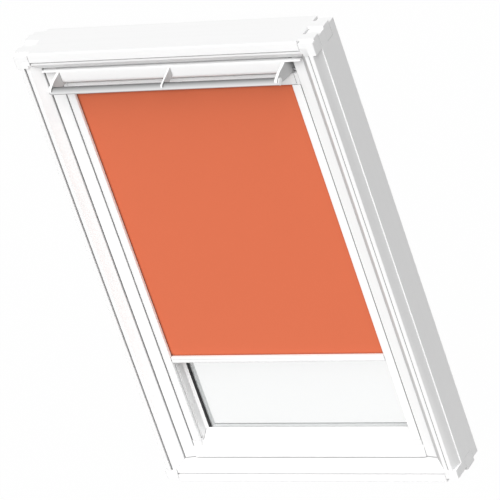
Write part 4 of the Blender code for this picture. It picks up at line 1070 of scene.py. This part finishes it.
@dataclass
class VentFlap:
    """The ventilation flap with its control bar on three brackets."""

    edge: Edge = Edge(0.0006)
    bracket_edge: Edge = Edge(0.0008, 3)
    chamfer: float = 0.0006
    wall: float = 0.0015
    dome: float = 0.0006
    dome_steps: int = 5
    dome_turn: float = pi / 12

    def build(self) -> None:
        """Dress the flap, its seal and brackets, and turn the bar and its caps."""
        dress_nodes(("vent_flap",), "shell", Body.FLAP, WHITE_COAT, self.edge)
        dress_nodes(("flap_seal",), "rubber", Body.FLAP, RUBBER, Edge(0.0004))
        dress_nodes(both("bar_bracket") + ("bar_bracket_middle",), "moulding", Body.FLAP, BRACKET_PLASTIC,
                    self.bracket_edge)
        self.build_bar()
        for side, node in zip((-1, 1), both("bar_cap")):
            self.build_cap(node, side)

    def build_bar(self) -> None:
        """Turn the bar as a tube with eased ends."""
        low, high = node_box("control_bar")
        half = (high.x - low.x) / 2
        radius = (high.y - low.y) / 2
        bore = radius - self.wall
        ease = self.chamfer
        profile = [(-half, bore), (-half, radius - ease), (ease - half, radius), (half - ease, radius),
                   (half, radius - ease), (half, bore)]
        centre = (low + high) / 2
        # The bar's bright stripe and dark upper side are painted reflection and shade, set round its axis.
        finish = PaintedReflectionBar("banded_satin_bar", SATIN_BAR.slot, PAINTED_REFLECTION_BASE, SATIN_BAR.roughness,
                           centre=(centre.y, centre.z))
        settle(turned("control_bar_tube", profile, centre), Body.FLAP, finish, ("control_bar",))

    def build_cap(self, node: str, side: int) -> None:
        """Turn an end cap with a slightly domed face.

        Args:
            node: The cap's node.
            side: -1 for the left end and 1 for the right.
        """
        low, high = node_box(node)
        bar_low, bar_high = node_box("control_bar")
        centre = (low + high) / 2
        centre.x = 0.0
        radius = (bar_high.y - bar_low.y) / 2
        neck = radius - self.wall - self.chamfer / 2
        inner = min(abs(low.x), abs(high.x))
        outer = max(abs(low.x), abs(high.x))
        rim = (bar_high.x - bar_low.x) / 2 + self.chamfer / 2
        profile = [(inner, 0.0), (inner, neck), (rim, neck), (rim, radius)]
        for step in range(1, self.dome_steps + 1):
            turn = step * self.dome_turn
            profile.append((outer - self.dome - (outer - self.dome - rim) * (1 - sin(turn)),
                            radius - (outer - rim) * (1 - cos(turn))))
        profile += [(outer, radius * 0.5), (outer, 0.0)]
        piece = turned(f"{node}_moulding", [(side * along, reach) for along, reach in profile], centre)
        settle(piece, Body.FLAP, WHITE_PLASTIC, (node,))


@dataclass
class BlindCasing:
    """The blind's casing, its end pieces, and the channels that guide the bottom bar."""

    edge: Edge = Edge(0.0005)
    end_edge: Edge = Edge(0.0008, 3)
    # Width of the painted shadow line on the right channel's outer strip, in metres.
    shadow_line_width: float = 0.0012

    def build(self) -> None:
        """Dress the casing and channels."""
        dress_nodes(("blind_casing",), "profile", Body.SASH, WHITE_COAT, self.edge)
        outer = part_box("side_channel_right")[1][0]
        # The right channel's outer strip gets a painted shadow line, and the channels get strong painted
        # shade in gaps.
        shadow_lined_coat = ChannelCoatWithPaintedShadow("white_channel_coat", WHITE_COAT.slot, WHITE_COAT.color, WHITE_COAT.roughness,
                           gap_shade_tone=0.08, shadow_line_start=outer - self.shadow_line_width)
        dress_nodes(both("side_channel"), "profile", Body.SASH, shadow_lined_coat, self.edge)
        dress_nodes(both("casing_end") + both("channel_foot"), "moulding", Body.SASH, WHITE_PLASTIC,
                    self.end_edge)


@dataclass
class BottomBar:
    """The bar that weights the cloth, its clamp strip and its glides."""

    edge: Edge = Edge(0.0004)

    def build(self) -> None:
        """Dress the bar's pieces."""
        dress_nodes(("bottom_bar",), "profile", Body.BLIND_BAR, WHITE_COAT, self.edge)
        dress_nodes(("clamp_strip",) + both("bar_glide"), "moulding", Body.BLIND_BAR, WHITE_PLASTIC,
                    Edge(0.0003))


@dataclass
class Cloth:
    """The hanging blackout cloth: a flat sheet from the casing down into the bottom bar."""

    columns: int = 25
    thickness: float = 0.0006

    def build(self) -> None:
        """Make the sheet from a grid in three strips, split at the bottom bar's top, and give it its
        thickness.
        """
        low, high = node_box("blackout_fabric")
        bar_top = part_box("bottom_bar")[1][2]
        width = high.x - low.x
        rows = (high.z, (high.z + bar_top) / 2, bar_top, low.z)
        tree = GeometryTree("hanging_cloth")
        width_in = tree.given("Width", width)
        columns_in = tree.given("Columns", self.columns)
        strips = tree.node("GeometryNodeJoinGeometry")
        for index, (upper, lower) in enumerate(zip(rows, rows[1:])):
            strip = tree.node("GeometryNodeMeshGrid", {
                "Size X": width_in, "Size Y": tree.given(f"Length {index}", upper - lower),
                "Vertices X": columns_in, "Vertices Y": 2,
            })
            place = Vector((0.0, (low.y + high.y) / 2, (upper + lower) / 2))
            tree.feed(strips.inputs[0], tree.placed(strip, place, (pi / 2, 0.0, 0.0), f"Place {index}"))
        whole = tree.node("GeometryNodeMergeByDistance", {
            "Geometry": strips, "Distance": tree.given("Join", MERGE_DISTANCE * 10),
        })
        sheet = tree.finish("blackout_cloth", whole, CLOTH)
        thicken(sheet, self.thickness)
        settle(sheet, None, CLOTH, ("blackout_fabric",))
        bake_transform(sheet)


@dataclass
class Roller:
    """The sprung roller in the casing, with the cloth wound on it."""

    edge: Edge = Edge(0.0003)
    layers: int = 5
    layer: float = 0.0005
    wire: float = 0.0007
    spring_turns: int = 20
    spring_pitch: float = 0.008
    steps_per_turn: int = 24
    wire_sides: int = 8
    cloth_share: float = 0.8
    lengthwise: Point = (0.0, pi / 2, 0.0)

    def build(self) -> None:
        """Dress the tube, plugs and mandrel, and wind the cloth and the spring."""
        dress_nodes(("roller_tube",), "drawn", Body.ROLLER, SATIN_BAR, self.edge)
        dress_nodes(("spring_plug", "idle_plug"), "moulding", Body.ROLLER, WHITE_PLASTIC, self.edge)
        dress_nodes(("spring_mandrel",), "steel", Body.SASH, ZINC, self.edge)
        self.build_roll()
        self.build_spring()

    def spiral(self, tree: GeometryTree, turns: float, inner: float, outer: float,
               length: float) -> Node:
        """Add a curve that goes from one radius to another in some turns and climbs a length."""
        return tree.node("GeometryNodeCurveSpiral", {
            "Resolution": tree.given("Steps per turn", self.steps_per_turn),
            "Rotations": tree.given("Turns", turns),
            "Start Radius": tree.given("Inner radius", inner),
            "End Radius": tree.given("Outer radius", outer),
            "Height": tree.given("Length", length),
        })

    def build_roll(self) -> None:
        """Wind the cloth round the tube as one spiral."""
        low, high = node_box("fabric_roll")
        tube_low, tube_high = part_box("roller_tube")
        inner = (tube_high[1] - tube_low[1]) / 2 + self.layer
        outer = (high.y - low.y) / 2 - self.layer / 2
        tree = GeometryTree("wound_cloth")
        curve = self.spiral(tree, float(self.layers), inner, outer, 0.0)
        width = high.x - low.x
        across = tree.node("GeometryNodeCurvePrimitiveLine", {
            "Start": (0.0, -width / 2, 0.0), "End": (0.0, width / 2, 0.0),
        })
        swept = tree.node("GeometryNodeCurveToMesh", {"Curve": curve, "Profile Curve": across})
        place = tree.placed(swept, (low + high) / 2, self.lengthwise)
        roll = tree.finish("wound_blackout_cloth", place, CLOTH)
        thicken(roll, self.layer * self.cloth_share)
        roll.data.shade_smooth()
        settle(roll, Body.ROLLER, CLOTH, ("fabric_roll",))

    def build_spring(self) -> None:
        """Coil the lift spring round its mandrel."""
        low, high = node_box("roller_spring")
        radius = (high.y - low.y) / 2 - self.wire
        length = self.spring_turns * self.spring_pitch
        tree = GeometryTree("lift_spring")
        curve = self.spiral(tree, float(self.spring_turns), radius, radius, length)
        section = tree.node("GeometryNodeCurvePrimitiveCircle", {
            "Resolution": self.wire_sides, "Radius": tree.given("Wire radius", self.wire),
        })
        swept = tree.node("GeometryNodeCurveToMesh", {
            "Curve": curve, "Profile Curve": section, "Fill Caps": True,
        })
        centre = (low + high) / 2
        centre.x -= length / 2
        spring = tree.finish("coiled_lift_spring", tree.placed(swept, centre, self.lengthwise), ZINC)
        spring.data.shade_smooth()
        settle(spring, Body.ROLLER, ZINC, ("roller_spring",))


@dataclass(frozen=True)
class Viewpoint:
    """The camera, as a direction, a roll, a distance and the point that it looks at."""

    azimuth: float = 35.0699
    elevation: float = 27.5285
    roll: float = -19.3167
    distance: float = 11.9
    aim: Point = (-0.01999, 0.04643, 0.57682)
    lens: float = 374.455
    sensor: float = 36.0
    far: float = 200.0

    def build(self) -> None:
        """Create the camera and make it the scene's."""
        turn, rise = radians(self.azimuth), radians(self.elevation)
        back = Vector((sin(turn) * cos(rise), -cos(turn) * cos(rise), sin(rise)))
        level = (-back).to_track_quat("-Z", "Y").to_matrix()
        rotation = level @ Matrix.Rotation(radians(self.roll), 3, "Z")
        data = bpy.data.cameras.new("studio_camera")
        data.lens = self.lens
        data.sensor_width = self.sensor
        data.sensor_fit = "HORIZONTAL"
        data.clip_end = self.far
        camera = linked("studio_camera", data)
        camera.matrix_world = Matrix.Translation(Vector(self.aim) + back * self.distance) @ rotation.to_4x4()
        bpy.context.scene.camera = camera


@dataclass(frozen=True)
class Lamp:
    """A broad, distant lamp: where it stands, how strong it is and the angle that it fills."""

    name: str
    towards: Point
    strength: float
    spread: float

    def build(self) -> None:
        """Create the lamp, which reflections leave out."""
        data = bpy.data.lights.new(self.name, "SUN")
        data.energy = self.strength
        data.angle = radians(self.spread)
        lamp = linked(self.name, data)
        lamp.rotation_euler = Vector(self.towards).to_track_quat("Z", "Y").to_euler()
        lamp.visible_glossy = False


KEY_LIGHT = Lamp("key_light", (0.20, -0.63, 0.73), 3.35, 60.0)


@dataclass
class Studio:
    """A pale floor, soft light and a white surround."""

    floor_half: float = 30.0
    floor_drop: float = 0.0006
    floor_glow: float = 0.99
    floor_tone: float = 0.56
    sky: float = 0.23

    def build(self) -> None:
        """Make the floor, the lamps and the world."""
        self.build_floor()
        KEY_LIGHT.build()
        self.build_world()
        bpy.context.scene.view_settings.view_transform = "Standard"

    def build_floor(self) -> None:
        """Lay the floor just under the sill."""
        data = bmesh.new()
        half = self.floor_half
        corners = ((-half, -half), (half, -half), (half, half), (-half, half))
        data.faces.new([data.verts.new((x, y, -self.floor_drop)) for x, y in corners])
        floor = new_object("pale_floor", data)
        material = bpy.data.materials.new("pale_floor")
        material.use_nodes = True
        tree = NodeTree(material.node_tree)
        tone = self.floor_tone
        plain = tree.node("ShaderNodeBsdfDiffuse", {"Color": (tone, tone, tone, 1.0)})
        glow = tree.node("ShaderNodeEmission", {"Strength": 1.0})
        tree.show("ShaderNodeOutputMaterial", tree.rays("Camera", "Glossy") * self.floor_glow, plain, glow)
        floor.data.materials.append(material)

    def build_world(self) -> None:
        """Light the object evenly, and show pure white behind it."""
        world = bpy.data.worlds.new("white_studio")
        world.use_nodes = True
        bpy.context.scene.world = world
        tree = NodeTree(world.node_tree)
        light, shown = (
            tree.node("ShaderNodeBackground", {"Color": (1.0, 1.0, 1.0, 1.0), "Strength": strength})
            for strength in (self.sky, 1.0)
        )
        tree.show("ShaderNodeOutputWorld", tree.rays("Camera", "Glossy", "Transmission"), light, shown)


def main() -> None:
    """Build every sub-assembly in order, then the studio and the camera."""
    logging.basicConfig(level=logging.INFO, format="%(message)s")
    Viewpoint().build()
    for assembly in (TimberFrame(), Cladding(), Sash(), Glazing(), PivotsAndLock(), VentFlap(), BlindCasing(),
                     Roller(), Cloth(), BottomBar(), Studio()):
        LOG.info("building %s", type(assembly).__name__)
        assembly.build()


if __name__ == "__main__":
    main()
